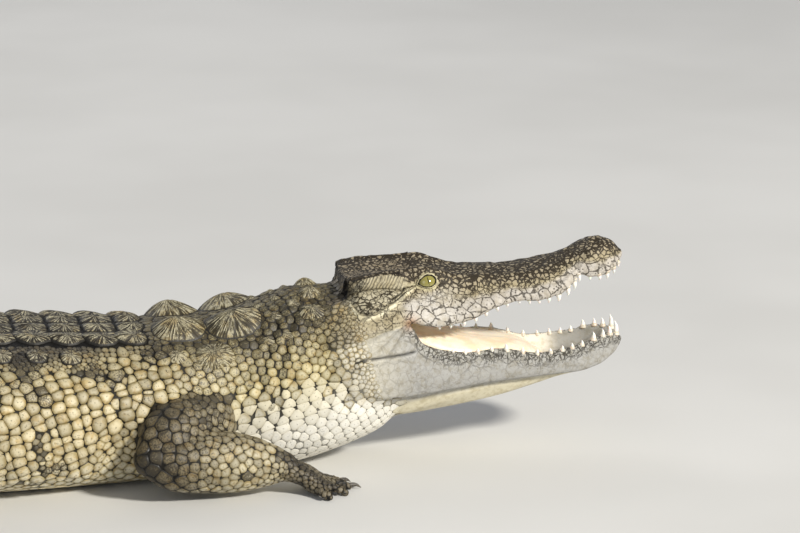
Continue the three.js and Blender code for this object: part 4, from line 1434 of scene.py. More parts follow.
def nape_plates(surface):
    """The nape's raised plates: low limpets with a keel and ridges, laid over the curve of the hide."""
    blocks, forms, rays, charts = [], [], [], []
    for s, side, length, width, height in NAPE_PLATES:
        for y in (side, -side):
            turn = side_turn(s, y / half_width(s))
            foot = body_point(np.array(float(s)), turn, 0.0)
            tilt = -math.asin(0.8 * y / float(half_width(s)))
            across = np.array([0, math.cos(tilt), math.sin(tilt)])
            up = np.array([0, -math.sin(tilt), math.cos(tilt)])
            u, v, lift, spots = plate_shape(s, y, length, width, height)
            flat = foot + [1, 0, 0] * u[..., None] + across * v[..., None]
            on_skin, _, _, _ = surface.nearest(flat.reshape(-1, 3))
            points = on_skin.reshape(flat.shape) + up * (lift - PLATE_SINK)[..., None]
            centre = surface.nearest(foot[None])[0][0] + up * (height * 0.95 - PLATE_SINK)
            blocks.append(np.concatenate([centre[None], points.reshape(-1, 3)]))
            forms.append(block_form(np.repeat(PLATE_RINGS, PLATE_SIDES)))
            local = np.concatenate([[[0, 0]], spots + [0.12, 0]])
            rays.append(spokes(local * 1.6, forms[-1][:, 2], 11.0 if length > 40 else 7.0))
            arc = float(arc_table(float(s))[-1]) / np.pi * turn
            charts.append(chart_patch(s, arc, local * length * 0.5))
    return joined_blocks(blocks, forms, rays, charts, PLATE_SIDES)


def block_form(rim):
    """The form of a block: 0 at its centre, then each point's share of the way to the rim, and chance."""
    form = np.zeros((1 + len(rim), 3))
    form[1:, 0] = rim
    form[:, 2] = rng.uniform()
    return form


def joined_blocks(blocks, forms, rays, charts, count):
    """Joins blocks of count-sided rings: points, triangles, form, streaks and uv."""
    triangles = fan_faces(count, (len(blocks[0]) - 1) // count, len(blocks))
    points, form, spoke, uv = (np.concatenate(arrays) for arrays in (blocks, forms, rays, charts))
    return points, triangles, form, spoke, uv


FIN_SIDES = 16
FIN_LEVELS = np.array([0.0, 0.16, 0.34, 0.52, 0.68, 0.82, 0.92, 0.98])[::-1]  # from the tip down
FIN_ROOT = 4.0  # how deep a fin stands in the hide


def fin_shape(s, height, step, thick):
    """One upright scute as rings from the tip down: offsets ahead, across and up."""
    angles = np.arange(FIN_SIDES) * 2 * np.pi / FIN_SIDES
    reach = step * 0.5 * np.sqrt(1 - FIN_LEVELS**1.9)
    half = thick * (1 - FIN_LEVELS) ** 0.75 + 0.35
    lean = -step * 0.46 * FIN_LEVELS**1.35
    u = lean[:, None] + reach[:, None] * np.cos(angles)
    v = half[:, None] * np.sin(angles)
    rise = (FIN_LEVELS * (height + FIN_ROOT) - FIN_ROOT)[:, None] + 0 * u
    grain = noise3(np.column_stack([u.ravel() / 2, v.ravel(), np.full(u.size, s)]), 2.2).reshape(u.shape)
    return u, v * (1 + 0.16 * grain), rise


def crest_fins():
    """The tail's upright scutes: thin leaves that lean back, in two rows and then in one."""
    blocks, forms, rays, charts = [], [], [], []
    for s in crest_places():
        height, step = float(crest_height(s)), float(crest_step(s))
        single = s >= SINGLE_CREST_FROM
        shares = [0] if single else [float(crest_spread(s)), -float(crest_spread(s))]
        for share in shares:
            foot = body_point(np.array(s), side_turn(s, share), 1.0)
            ahead = forward_at(np.array(s))
            across = np.array([-ahead[1], ahead[0], 0])
            up = unit(np.array([0, 0, 1.0]) + across * share * 0.5)
            u, v, rise = fin_shape(s, height, step, 4.5 if single else 5.5)
            points = foot + ahead * u[..., None] + across * v[..., None] + up * rise[..., None]
            tip = foot + ahead * (-step * 0.47) + up * height
            blocks.append(np.concatenate([tip[None], points.reshape(-1, 3)]))
            forms.append(block_form(np.repeat(np.where(FIN_LEVELS < 0.1, 0.95, 0.4), FIN_SIDES)))
            upright = np.stack([u, rise * 0.25, 0 * v], axis=-1).reshape(-1, 3)
            flat = np.concatenate([[[0, height * 0.25, 0]], upright])
            rays.append(flat * 0.7 + forms[-1][:, 2:] * 60)
            charts.append(chart_patch(s, share * float(half_width(s)), flat[:, :2]))
    return joined_blocks(blocks, forms, rays, charts, FIN_SIDES)


# ------------------------------------------------------------------ markings
def colour(*values):
    return np.array(values)


BACK_DARK, BACK_LIGHT = colour(0.065, 0.058, 0.045), colour(0.17, 0.145, 0.10)
FLANK_PALE, FLANK_OLIVE = colour(0.55, 0.48, 0.315), colour(0.40, 0.345, 0.205)
BELLY_PALE = colour(0.86, 0.81, 0.64)
NECK_PALE = colour(0.54, 0.475, 0.28)
NAPE_OLIVE = colour(0.25, 0.215, 0.12)
THROAT_PALE = colour(0.80, 0.775, 0.70)
ARM_DARK, ARM_PALE = colour(0.16, 0.13, 0.075), colour(0.56, 0.505, 0.355)
HAND_DARK = colour(0.17, 0.145, 0.10)


def tone(a, b, share):
    """Turns colour a into colour b by each point's share."""
    return a + (b - a) * np.clip(share, 0, 1)[:, None]


def body_tint(points):
    """The hide's ground colour on the neck, trunk and tail, with painted shade in the neck's folds, and how
    far dark specks cover it.
    """
    s, side = body_places(points)
    turn = np.abs(body_turns(s, side, points[:, 2]))
    blotch = noise3(points, 55, 1) * 0.6 + noise3(points, 22, 2) * 0.4
    fine = noise3(points, 9, 3)
    flank = tone(FLANK_PALE, NECK_PALE, 1 - smoothstep(100, 270, s))
    flank = tone(flank, FLANK_OLIVE, smoothstep(1.25, 0.8, turn) * 0.8)
    pale = tone(flank, BELLY_PALE, smoothstep(1.75, 2.4, turn + 0.15 * blotch))
    throat = smoothstep(1.2, 1.9, turn + 0.12 * blotch) * (1 - smoothstep(90, 270, s))
    pale = tone(pale, THROAT_PALE, throat)
    nape = (1 - smoothstep(170, 260, s)) * smoothstep(1.35, 0.85, turn + 0.2 * blotch)
    pale = tone(pale, NAPE_OLIVE * 1.5, nape * 0.7)
    bars = np.sin(s / 95 + 0.8 * noise3(points, 120, 4)) * smoothstep(500, 1000, s)
    spots = smoothstep(0.2, 0.5, blotch + 0.3 * bars) * smoothstep(2.4, 1.7, turn)
    spots = spots * mix(0.4, 1.0, smoothstep(220, 360, s))
    shade = tone(pale, FLANK_OLIVE * 0.55, spots * 0.2)
    back = tone(BACK_DARK, BACK_LIGHT, 0.5 + 0.6 * blotch)
    back = tone(back, NAPE_OLIVE, 1 - smoothstep(180, 300, s))
    edge = mix(0.85, 0.66, smoothstep(60, 300, s)) + 0.14 * blotch
    edge = edge - 0.16 * np.exp(-(((s - 275) / 48) ** 2))
    top = smoothstep(edge + 0.14, edge - 0.14, turn)
    shade = tone(shade, back, top)
    shade = shade * (1 - 0.3 * smoothstep(1000, 2000, s))[:, None] * (1 + 0.12 * fine)[:, None]
    # Painted shade in the neck's folds: the hide is darker and more specked where they sink.
    folds = np.clip(neck_folds(points, s, turn) / 3, 0, 1)
    shade = shade * (1 - 0.35 * folds)[:, None]
    dusk = 0.14 + 0.85 * spots + 0.25 * nape + 0.3 * top + 0.3 * folds
    return shade, np.clip(dusk - 0.5 * throat, 0, 1)


def leg_tint(points, label):
    """The ground colour on the legs: dark outside with pale ochre scales below and inside."""
    blotch = noise3(points, 34, 5) * 0.6 + noise3(points, 13, 6) * 0.4
    fore = foreleg(label)
    lower = np.where(fore, smoothstep(-240, -165, points[:, 0]), 0.35)
    lower = lower * mix(1.0, 0.45, smoothstep(52, 92, points[:, 2]) * fore)
    shade = tone(ARM_DARK, ARM_PALE, lower * (0.75 + 0.4 * blotch) + 0.15 * blotch)
    shade = tone(shade, BELLY_PALE, smoothstep(34, 8, points[:, 2]) * 0.5)
    foot = np.where(fore, smoothstep(-120, -80, points[:, 0]), smoothstep(26, 16, points[:, 2]))
    shade = tone(shade, HAND_DARK, foot)
    dusk = 0.16 + 0.85 * smoothstep(0.02, 0.34, blotch) + 0.25 * foot + 0.4 * (1 - lower)
    return shade * (1 + 0.14 * noise3(points, 7, 7))[:, None], np.clip(dusk, 0, 1)


def ground_tint(points, label):
    """The ground colour and the dusk of the body or the legs."""
    shade, dusk = body_tint(points)
    leg = label >= FORE_RIGHT
    if leg.any():
        shade[leg], dusk[leg] = leg_tint(points[leg], label[leg])
    return shade, dusk


# ------------------------------------------------------------------ the head's forms
EYE_AXIS = unit(np.array([0.1, 0.9, 0.42]))
LID_WIDE_FRONT, LID_WIDE_REAR, LID_HIGH = math.radians(44), math.radians(56), math.radians(31)
# Each tooth's place along the jaw, its length and its radius at the gum.
UPPER_TEETH = [
    (339, 5, 2.1), (331, 6, 2.3), (321, 8, 2.9), (310, 7, 2.9), (299, 5, 2.2), (285, 10, 2.6),
    (277, 12, 3), (267, 12, 3.2), (254, 12, 3.4), (241, 8, 2.9), (228, 6, 2.5), (216, 6, 2.5),
    (203, 6, 2.5), (188, 6, 2.7), (174, 7, 3), (159, 7, 3), (144, 7, 3), (129, 8, 3.2), (112, 6, 2.8),
    (97, 5, 2.6),
]
LOWER_TEETH = [
    (357, 15, 2.9), (348, 9, 2.5), (338, 7, 2.3), (325, 8, 2.7), (310, 5, 2.3), (297, 5, 2.3),
    (284, 5, 2.3), (269, 4, 2.2), (251, 5, 2.3), (232, 6, 2.5), (211, 7, 2.9), (192, 5, 2.6),
    (174, 5, 2.6), (157, 4, 2.5), (141, 4, 2.4),
]


def line_distance(x, z, points):
    """How far (x, z) lies from a line through the points, and how far along the line, 0 to 1."""
    points = np.array(points, float)
    lengths = np.linalg.norm(np.diff(points, axis=0), axis=1)
    starts = np.concatenate([[0], np.cumsum(lengths)])
    best, share = np.full(x.shape, 1e9), np.zeros(x.shape)
    for i, length in enumerate(lengths):
        ax, az = points[i]
        dx, dz = (points[i + 1] - points[i]) / length
        t = np.clip((x - ax) * dx + (z - az) * dz, 0, length)
        gap = np.hypot(x - ax - t * dx, z - az - t * dz)
        closer = gap < best
        best = np.where(closer, gap, best)
        share = np.where(closer, (starts[i] + t) / starts[-1], share)
    return best, share


def ridge_along(x, z, points, width, taper=0.15):
    """A smooth ridge of height 1 along a line, which fades out at both ends."""
    gap, share = line_distance(x, z, points)
    ends = smoothstep(0, taper, share) * smoothstep(1, 1 - taper, share) if taper else 1.0
    return np.exp(-((gap / width) ** 2)) * ends


def oval(x, z, cx, cz, rx, rz, tilt_deg):
    """The distance from an oval's middle, where 1 is its rim."""
    c, s = math.cos(math.radians(tilt_deg)), math.sin(math.radians(tilt_deg))
    u, v = (x - cx) * c + (z - cz) * s, -(x - cx) * s + (z - cz) * c
    return np.hypot(u / rx, v / rz)


# The ear and the folds near it, as outlines and lines in the side view of the head, in x and z.
EAR_UPPER = [
    (-1, -17), (7, -7), (18, -1.5), (31, -1), (53, -6), (71, -13.5), (77, -20.5), (73, -25), (62, -26.3),
    (45, -20.5), (31, -17.5), (14.5, -16),
]
EAR_LOWER = [
    (-3, -23), (5, -18.5), (15, -17), (31, -18.5), (45, -21.5), (58, -26.5), (66, -27.5), (56, -31),
    (45, -34.5), (27, -39), (12, -40), (2, -34),
]
EAR_EDGE = [(-2, -19), (14.5, -16.5), (31, -18), (45, -21), (62, -26.3), (72, -26), (78, -21)]
EAR_TUBE = [(-5, -22), (-4, -31), (2, -39.5), (11, -43.5), (27, -42.5), (48, -37), (62, -32.5), (78, -26.5)]
EAR_SLIT = [(46, -33.6), (62, -29.6), (70, -26.5), (79, -22.5)]
EAR_POCKET = [(-1, -28), (3, -36), (12, -39.8), (22, -39)]
EAR_FOLD = [(-2, -45), (14, -49), (36, -47), (60, -39), (80, -31)]
TABLE_SHADE = [(-4, -8), (6, -3), (18, 3), (31, 3.5), (53, -1), (72, -9)]
MOUTH_CORNER = (58, -62)
HOLLOW = (-8, -11, 15, 17, 20)  # the hollow behind the skull table, darkened on the hide with painted shade: middle, radii and tilt
SUNK_HOLLOW = (-12, -10, 13, 17, 20)
CHEEK_CREASE = [(-24, -95), (-4, -93), (15, -94.5), (46, -99), (66, -100)]
# Places q on the head's half outline, which runs from 0 at the crown to 10 in the palate's middle.
TABLE_EDGE, SNOUT_TOP, CROWN_EDGE, LIP_EDGE = 2.05, 3.2, 5.0, 7.2


def depth_inside(x, z, outline):
    """How far (x, z) lies inside a closed outline; negative outside it."""
    closed = [*outline, outline[0]]
    gap, _ = line_distance(x, z, closed)
    inside = np.zeros(x.shape, bool)
    for (ax, az), (bx, bz) in zip(closed[:-1], closed[1:]):
        slope = (bx - ax) / ((bz - az) or 1.0)
        inside ^= ((az > z) != (bz > z)) & (x < ax + (z - az) * slope)
    return np.where(inside, gap, -gap)


def ear_fringe(h):
    """The fine slanting pleats of the upper ear flap, from -1 to 1."""
    return np.sin(h[:, 0] * 1.25 - h[:, 2] * 1.1 + 2.2 * noise3(h, 7, 11))


def eye_frame(hand):
    """The middle of an eye and its axes: forwards, up and out of the head."""
    centre = EYE_CENTRE * [1, hand, 1]
    out = EYE_AXIS * [1, hand, 1]
    ahead = unit(np.array([1.0, 0, 0]) - out * out[0])
    up = np.cross(out, ahead) * hand
    return centre, ahead, up, out


def lid_opening(turn):
    """How wide the lids open in each direction, as an angle at the eye's middle."""
    wide = np.where(np.cos(turn) > 0, LID_WIDE_FRONT, LID_WIDE_REAR)
    sharp = np.where(np.cos(turn) > 0, 2.0, 1.45)
    return (np.abs(np.cos(turn) / wide) ** sharp + np.abs(np.sin(turn) / LID_HIGH) ** sharp) ** (-1 / sharp)


def lid_place(h, hand):
    """Offsets from an eye's middle, their length, and degrees outside the lids' opening and round it."""
    centre, ahead, up, out = eye_frame(hand)
    d = h - centre
    r = np.linalg.norm(d, axis=1)
    angle = np.arccos(np.clip(d @ out / np.maximum(r, 1e-6), -1, 1))
    turn = np.arctan2(d @ up, d @ ahead)
    near = (r < 34) & (angle < math.radians(100))
    return d, r, np.degrees(angle - lid_opening(turn)), turn, near


def open_lids(h):
    """Opens the hide over each eye and wraps lids with folds round it."""
    for hand in (1, -1):
        d, r, deg, turn, near = lid_place(h, hand)
        cling = smoothstep(38, 6, deg)
        radius = mix(r, EYE_RADIUS + 1.5, cling)
        above = smoothstep(-0.1, 0.4, np.sin(turn))
        radius += 1.6 * above * np.exp(-(((deg - 17) / 6) ** 2))
        radius -= 1.2 * np.exp(-(((deg - 9.5) / 2.2) ** 2)) * (0.4 + 0.6 * above)
        radius += 0.9 * (1 - above) * np.exp(-(((deg - 6) / 3.5) ** 2))
        radius -= 0.9 * (1 - above) * np.exp(-(((deg - 14) / 2.6) ** 2))
        beads = np.sin(turn * 26) * np.exp(-(((deg - 15) / 4) ** 2))
        radius += 0.45 * beads * above
        front = smoothstep(0.75, 0.95, np.abs(np.cos(turn)))
        radius += front * 0.6 * np.sin(turn * 18) * np.exp(-(((deg - 17) / 9) ** 2))
        radius = mix(EYE_RADIUS - 2.6, radius, smoothstep(-4.5, 2.0, deg))
        centre = EYE_CENTRE * [1, hand, 1]
        h = np.where(near[:, None], centre + d * (radius / np.maximum(r, 1e-6))[:, None], h)
    return h


def corner_folds(h):
    """Where the folds of the mouth's corner fan out over the cheek, and their wave from -1 to 1."""
    dx, dz = h[:, 0] - MOUTH_CORNER[0] - 4, h[:, 2] - MOUTH_CORNER[1] - 4
    reach, sector = np.hypot(dx, dz), np.arctan2(-dz, -dx)
    fan = smoothstep(6, 16, reach) * smoothstep(78, 42, reach) * smoothstep(0.02, 0.2, sector)
    return fan * smoothstep(1.18, 0.82, sector), np.sin(sector * 21 + 0.9 * noise3(h, 16, 12))


def sculpt_head(h, normal, q, label):
    """Raises and sinks the head's hide in the head's frame: ears, folds, lips, pits and wrinkles."""
    x, y, z = h.T
    is_head = label == HEAD
    outer = is_head & (q < LIP_EDGE)
    sideways = smoothstep(0.25, 0.6, np.abs(normal[:, 1]))
    rise = np.zeros(len(h))
    for relief in (
        *ear_reliefs(h, sideways), *cheek_reliefs(h, sideways * (head_or_jaw(label) & (q < 8.6))),
        *lip_reliefs(x, z, q, is_head, outer), *crown_reliefs(h, outer & (q < CROWN_EDGE) & (x > 60)),
        *table_reliefs(h, q, outer), *nostril_reliefs(x, y, outer & (z > -56)), *snout_reliefs(h, outer),
    ):
        rise += relief
    behind = oval(x, z, *SUNK_HOLLOW)
    rise -= 7.5 * np.exp(-(behind**2)) * (np.abs(y) > 34) * (q < 8) * (np.abs(y) < 75)
    palate = is_head & (q >= 7.8)
    rise += palate * 0.6 * np.sin(x / 3.2 + 0.05 * y * y / 10) * smoothstep(0.2, 0.6, -normal[:, 2])
    return h + normal * rise[:, None]


def ear_reliefs(h, side):
    """The ear's two flaps with the slit between them, the tube-like lower lid and the folds near it."""
    x, _, z = h.T
    upper, lower = depth_inside(x, z, EAR_UPPER), depth_inside(x, z, EAR_LOWER)
    yield side * (1.2 * smoothstep(-3, 1, upper) + 2.0 * smoothstep(0, 7, upper))
    yield side * 2.6 * smoothstep(0, 6, lower)
    for height, line, width, taper in (
        (-2.4, EAR_EDGE, 1.1, 0.08), (3.0, EAR_TUBE, 2.5, 0.08), (-4.5, EAR_SLIT, 1.3, 0.15),
        (-2.2, EAR_POCKET, 1.2, 0.2), (-1.8, EAR_FOLD, 2.4, 0.15),
    ):
        yield side * height * ridge_along(x, z, line, width, taper)
    yield side * 0.45 * ear_fringe(h) * smoothstep(0.5, 2.5, upper) * smoothstep(13, 6, upper)
    yield side * 0.5 * noise3(h, 4.5, 20) * smoothstep(1, 3, lower)


def cheek_reliefs(h, side):
    """The long crease under the cheek, the swelling over it, and the folds of the mouth's corner."""
    x, _, z = h.T
    yield side * -2.6 * ridge_along(x, z, CHEEK_CREASE, 1.9, 0.12)
    yield side * 1.3 * ridge_along(x, z + 4.5, CHEEK_CREASE, 3.5, 0.12)
    fan, wave = corner_folds(h)
    yield 1.15 * fan * wave * side


def lip_reliefs(x, z, q, is_head, outer):
    """A bulge over each upper tooth's root, and the notch behind the snout's tip."""
    lip = outer & (q > 4.2)
    side_z = z - lip_height(x)
    for place, length, radius in UPPER_TEETH:
        size = 2.6 + radius * 1.3
        bulge = np.exp(-(((x - place) / size) ** 2) - ((side_z - 8) / 7.5) ** 2)
        yield lip * (0.55 + 0.13 * length) * bulge
    yield is_head * (q < 7.5) * -2.2 * np.exp(-(((x - 284) / 3.2) ** 2)) * smoothstep(-46, -58, z)


def crown_reliefs(h, crown):
    """The bony unevenness and the cross wrinkles of the snout's top."""
    x, y, _ = h.T
    bony = noise3(h, 7, 13) * 0.32 + noise3(h, 17, 14) * 0.6 + noise3(h * [0.45, 1, 1], 5, 15) * 0.28
    yield crown * bony * smoothstep(70, 120, x)
    cross = np.sin(x / 3.4 + 2.2 * noise3(h, 15, 16) + np.abs(y) * 0.12)
    yield crown * 0.3 * cross * smoothstep(105, 140, x) * (1 - smoothstep(275, 300, x))


def table_reliefs(h, q, outer):
    """The skull table's raised rim, hollow middle and rough grain, and the brows over the eyes."""
    x, y, z = h.T
    top = outer & (q < SNOUT_TOP) & (x < 90) & (x > -12)
    rim = np.exp(-((np.abs(np.abs(y) - table_half_width(x) + 3) / 4.5) ** 2))
    yield top * (1.5 * rim - 1.2 * smoothstep(26, 0, np.abs(y)) * smoothstep(0, 20, x))
    grain = noise3(np.column_stack([x * 0.35, y, z]), 2.6, 17) * 0.38 + noise3(h, 6, 18) * 0.45
    yield top * grain
    brow = outer & (q < 3.4) & (x > 72) & (x < 128)
    yield brow * 1.6 * np.exp(-(((x - 98) / 15) ** 2)) * np.exp(-((np.abs(np.abs(y) - 37) / 6.5) ** 2))


def nostril_reliefs(x, y, ring):
    """Each nostril's raised ring and its curved slit."""
    for hand in (1, -1):
        nostril = np.hypot((x - 317) / 1.15, (y - hand * 9.5))
        yield ring * 1.7 * np.exp(-(((nostril - 6.6) / 2.2) ** 2))
        slit = [(322, hand * 12.5), (315.5, hand * 11.5), (313, hand * 6.5)]
        yield ring * -4.5 * ridge_along(x, y, slit, 1.9, 0.1)


def snout_reliefs(h, outer):
    """The lumps and the bump of the snout's tip."""
    x, _, z = h.T
    yield outer * smoothstep(298, 306, x) * 0.4 * noise3(h, 5.5, 19)
    yield outer * 2.4 * np.exp(-(((x - 335) / 9) ** 2) - ((z + 47) / 9) ** 2)


def sculpt_jaw(j, normal, q, label):
    """The lower jaw's own forms, in the jaw's frame: sockets, wrinkles and the throat's folds."""
    x, y, z = j.T
    is_jaw = label == JAW
    rise = np.zeros(len(j))
    side = is_jaw & (q > 3.2) & (q < 8.2)
    below = z - rim_height(x)
    for place, length, radius in LOWER_TEETH:
        size = 2.4 + radius * 1.2
        rise += side * (0.4 + 0.1 * length) * np.exp(-(((x - place) / size) ** 2) - ((below + 5) / 6) ** 2)
    rise += side * (0.45 * noise3(j, 14, 21) + 0.25 * noise3(j, 6, 22)) * smoothstep(60, 110, x)
    gular = is_jaw & (q > 8.2)
    rise += gular * 0.5 * np.sin(y / 2.6 + noise3(j, 30, 23)) * smoothstep(330, 280, x)
    rise -= is_jaw * 1.4 * np.exp(-(((q - 8.15) / 0.16) ** 2)) * smoothstep(120, 160, x)
    inside = is_jaw & (q < 2.4)
    rise += inside * 0.7 * noise3(j * [0.5, 1, 1], 6, 24) * smoothstep(270, 300, x)
    return j + normal * rise[:, None]


NECK_FOLDS = [  # each fold's place, its depth, and how far it leans back on its way down
    (-6, 3.0, 14), (16, 2.0, 18), (58, 1.6, 26), (76, 3.4, 30), (98, 3.0, 34), (118, 2.0, 30),
    (236, 1.6, -26), (262, 1.6, -26), (306, 1.4, -26), (350, 1.4, -26),
]
ARMPITS = [(-296, -151, 44), (-286, 152, 44)]


def neck_folds(points, s, turn):
    """How deep the folds lie that run down the sides of the neck and the shoulder."""
    wave = 12 * noise3(points, 60, 31)
    depth = np.zeros(len(points))
    for place, deep, lean in NECK_FOLDS:
        gap = s + wave * 0.3 - place - lean * (turn - 0.9)
        depth += deep * np.exp(-((gap / 4.4) ** 2)) * smoothstep(0.2, 0.5, turn) * smoothstep(2.0, 1.4, turn)
    return depth


def sculpt_body(points, normal, label):
    """The neck's folds and the hollow behind each foreleg."""
    s, side = body_places(points)
    flesh = label == BODY
    turn = np.abs(body_turns(s, side, points[:, 2]))
    rise = flesh * -neck_folds(points, s, turn)
    for pit in ARMPITS:
        off = (points - np.array(pit)) / [30, 30, 40]
        rise -= 15 * np.exp(-(off**2).sum(axis=1)) * flesh
    return points + normal * rise[:, None]


# ------------------------------------------------------------------ the head's markings
class Marks:
    """What the hide's material reads: a tint, and how dusky, plated and cracked the hide is."""

    def __init__(self, tint, dusk, plates, cracks):
        self.tint, self.dusk, self.plates, self.cracks = tint, dusk, plates, cracks

    def lay(self, zone, tint, by=1.0, dusk=None, dusk_by=1.0, plates=None, cracks=None):
        """Lays new values over what is there, each by the zone's share."""
        self.tint = tone(self.tint, np.array(tint), zone * by)
        if dusk is not None:
            self.dusk = mix(self.dusk, dusk, zone * dusk_by)
        if plates is not None:
            self.plates = mix(self.plates, plates, zone)
        if cracks is not None:
            self.cracks = mix(self.cracks, cracks, zone)

    def looks(self):
        return np.column_stack([self.dusk, self.plates, self.cracks])


def head_marks(points, q, label):
    """Tint, and (dusk, plates, cracks) on the head and the lower jaw; the tint holds painted shade in creases,
    slits, folds and hollows.
    """
    h = body_to_head(points)
    x, y, z = h.T
    blotch = noise3(h, 26, 41) * 0.6 + noise3(h, 10, 42) * 0.4
    marks = snout_marks(x, z, blotch)
    lay_cheeks(marks, x, z, blotch)
    dark = lay_ears(marks, h, (q > TABLE_EDGE) & (q < LIP_EDGE))
    lay_table(marks, x, y, q, blotch)
    dark = np.maximum(dark, 0.85 * lay_lids(marks, h))
    folds, wave = corner_folds(h)
    folds = folds * (q < 8.4)
    marks.lay(folds, (0.62, 0.56, 0.40), dusk=0.06)
    # Painted shade in the troughs of the mouth corner's folds.
    dark = np.maximum(dark, 0.3 * folds * smoothstep(-0.3, -1.0, wave))
    roof = smoothstep(7.4, 7.9, q) * (label != JAW)
    marks.lay(roof, (0.84, 0.72, 0.56), dusk=0.02, plates=0, cracks=0.05)
    jaw, on_jaw = jaw_marks(body_to_jaw(points), q, blotch), (label == JAW)[:, None]
    # Painted shade along the cheek's long crease.
    crease = ridge_along(x, z, CHEEK_CREASE, 1.6, 0.1) * (q < 8.4)
    # Painted shade in the hollow behind the skull table.
    hollow = np.exp(-(oval(x, z, *HOLLOW) ** 2) ** 2) * (q < 7) * (np.abs(y) > 30)
    dark = np.maximum(np.maximum(dark, crease), hollow * 0.94)
    # The gathered dark lines, mostly painted shade along with the ear's pleats, darken the tint here.
    tint = np.where(on_jaw, jaw.tint, marks.tint) * (1 - 0.92 * dark)[:, None]
    # Painted shade, warm brown, in the mouth's corner.
    corner = np.exp(-(np.hypot(x - 62, z + 62) / 9) ** 2) * (q < 9)
    tint = tone(tint, colour(0.36, 0.16, 0.06), corner * 0.7)
    return tint, np.where(on_jaw, jaw.looks(), marks.looks())


def snout_marks(x, z, blotch):
    """The head's ground: pale plated lips, and darker and more cracked towards the crown."""
    height = smoothstep(lip_height(x) + 4, crown_height(x) - 2, z + 5 * blotch)
    tint = tone(colour(0.50, 0.46, 0.405), colour(0.40, 0.34, 0.22), smoothstep(0.2, 0.55, height))
    tint = tone(tint, colour(0.38, 0.32, 0.22), smoothstep(0.6, 0.95, height))
    dusk = 0.18 + 0.28 * smoothstep(0.2, 0.6, height) + 0.24 * smoothstep(0.6, 1.0, height)
    black = np.exp(-(((x - 262) / 34) ** 2)) * smoothstep(0.72, 0.95, height)
    plates = 0.95 - 0.65 * smoothstep(0.4, 0.75, height)
    cracks = 0.12 + 0.8 * smoothstep(0.3, 0.7, height)
    return Marks(tint, np.maximum(dusk, 0.7 * black), plates, cracks)


def lay_cheeks(marks, x, z, blotch):
    """The pale cheek before the mouth's corner, the temple, and the spotted cheek behind and below."""
    cheek = smoothstep(150, 90, x) * smoothstep(30, 70, x) * smoothstep(-32, -44, z)
    marks.lay(cheek, (0.56, 0.525, 0.47), 0.9, dusk=0.16, dusk_by=0.85)
    temple = smoothstep(66, 50, x) * (z < 0)
    marks.lay(temple, (0.42, 0.36, 0.225), 0.85, dusk=0.36 + 0.2 * blotch, dusk_by=0.8)
    low = smoothstep(70, 34, x) * smoothstep(-52, -70, z)
    dusk = 0.24 + 0.2 * blotch
    marks.lay(low, (0.50, 0.455, 0.36), 0.9, dusk, 0.9, plates=0.55, cracks=0.45)


def lay_ears(marks, h, side):
    """The ear's flaps, darker towards the upper flap's rear as painted shade, its pale lower lid and the
    painted shade over it; returns how dark its lines are: painted shade in the slit and grooves and under the
    table's edge, and the flap's pleats.
    """
    x, _, z = h.T
    upper, lower = depth_inside(x, z, EAR_UPPER), depth_inside(x, z, EAR_LOWER)
    ear = smoothstep(-0.5, 0.8, upper) * side
    # Painted shade: the upper flap darkens towards its rear, beside the hollow behind it.
    rear = smoothstep(30, 8, x)
    flap = tone(colour(0.50, 0.44, 0.30), colour(0.30, 0.27, 0.19), rear)
    marks.lay(ear, flap, dusk=0.2 + 0.25 * rear, cracks=0.05)
    lobe = smoothstep(-0.5, 0.8, lower) * side * (1 - ear)
    marks.lay(lobe, (0.50, 0.45, 0.32), dusk=0.46 + 0.3 * noise3(h, 5, 44))
    tube = np.minimum(1.2 * ridge_along(x, z, EAR_TUBE, 2.3, 0.04) * side, 1)
    marks.lay(tube, (0.78, 0.72, 0.52), dusk=0.03)
    pleats = 0.5 + 0.5 * ear_fringe(h)
    # The pleats' dark lines are stronger along the flap's lower edge and, as painted shade, towards its rear.
    rim = np.maximum(smoothstep(7, 2, upper), smoothstep(40, 16, x))
    fringe = ear * pleats**1.6 * mix(0.75, 1.0, rim)
    # Painted shade along the slit, the pocket, the flap's lower edge and under the skull table's edge.
    lines = [
        share * ridge_along(x, z, line, width, taper)
        for share, line, width, taper in (
            (1.0, EAR_SLIT, 1.5, 0.12), (0.8, EAR_POCKET, 1.2, 0.15), (0.75, EAR_EDGE, 1.0, 0.05),
            (0.9, TABLE_SHADE, 3.6, 0.1),
        )
    ]
    return np.maximum(np.max(lines, axis=0) * side, 0.85 * fringe)


def lay_table(marks, x, y, q, blotch):
    """The skull table: dark and cracked, and darkest along its rim."""
    table = smoothstep(2.2, TABLE_EDGE, q) * smoothstep(108, 84, x)
    margin = smoothstep(16, 7, table_half_width(x) - np.abs(y)) * table * smoothstep(92, 76, x)
    marks.lay(table, (0.33, 0.275, 0.19), dusk=0.60 + 0.2 * blotch, cracks=0.9)
    marks.dusk = mix(marks.dusk, 0.76, margin)


def lay_lids(marks, h):
    """The pale lids; returns how dark their edges and folds are, as painted shade where the lids tuck in
    against the eye and in the folds' creases.
    """
    dark = np.zeros(len(h))
    for hand in (1, -1):
        _, _, deg, turn, near = lid_place(h, hand)
        above = smoothstep(-0.2, 0.3, np.sin(turn))
        lid = near * smoothstep(1.5, 3.5, deg) * smoothstep(19, 12, deg)
        marks.lay(lid, (0.62, 0.56, 0.36), dusk=0.16 + 0.12 * above, cracks=0.2)
        # Painted shade in the creases of the upper and lower folds, and where the lids meet the eye.
        upper = np.exp(-(((deg - 9.5) / 1.3) ** 2)) * above
        fold_shade = upper + np.exp(-(((deg - 14) / 1.3) ** 2)) * (1 - above) * 0.7
        dark = np.maximum(dark, near * np.maximum(smoothstep(2.6, 0.4, deg), 0.75 * fold_shade))
    return dark


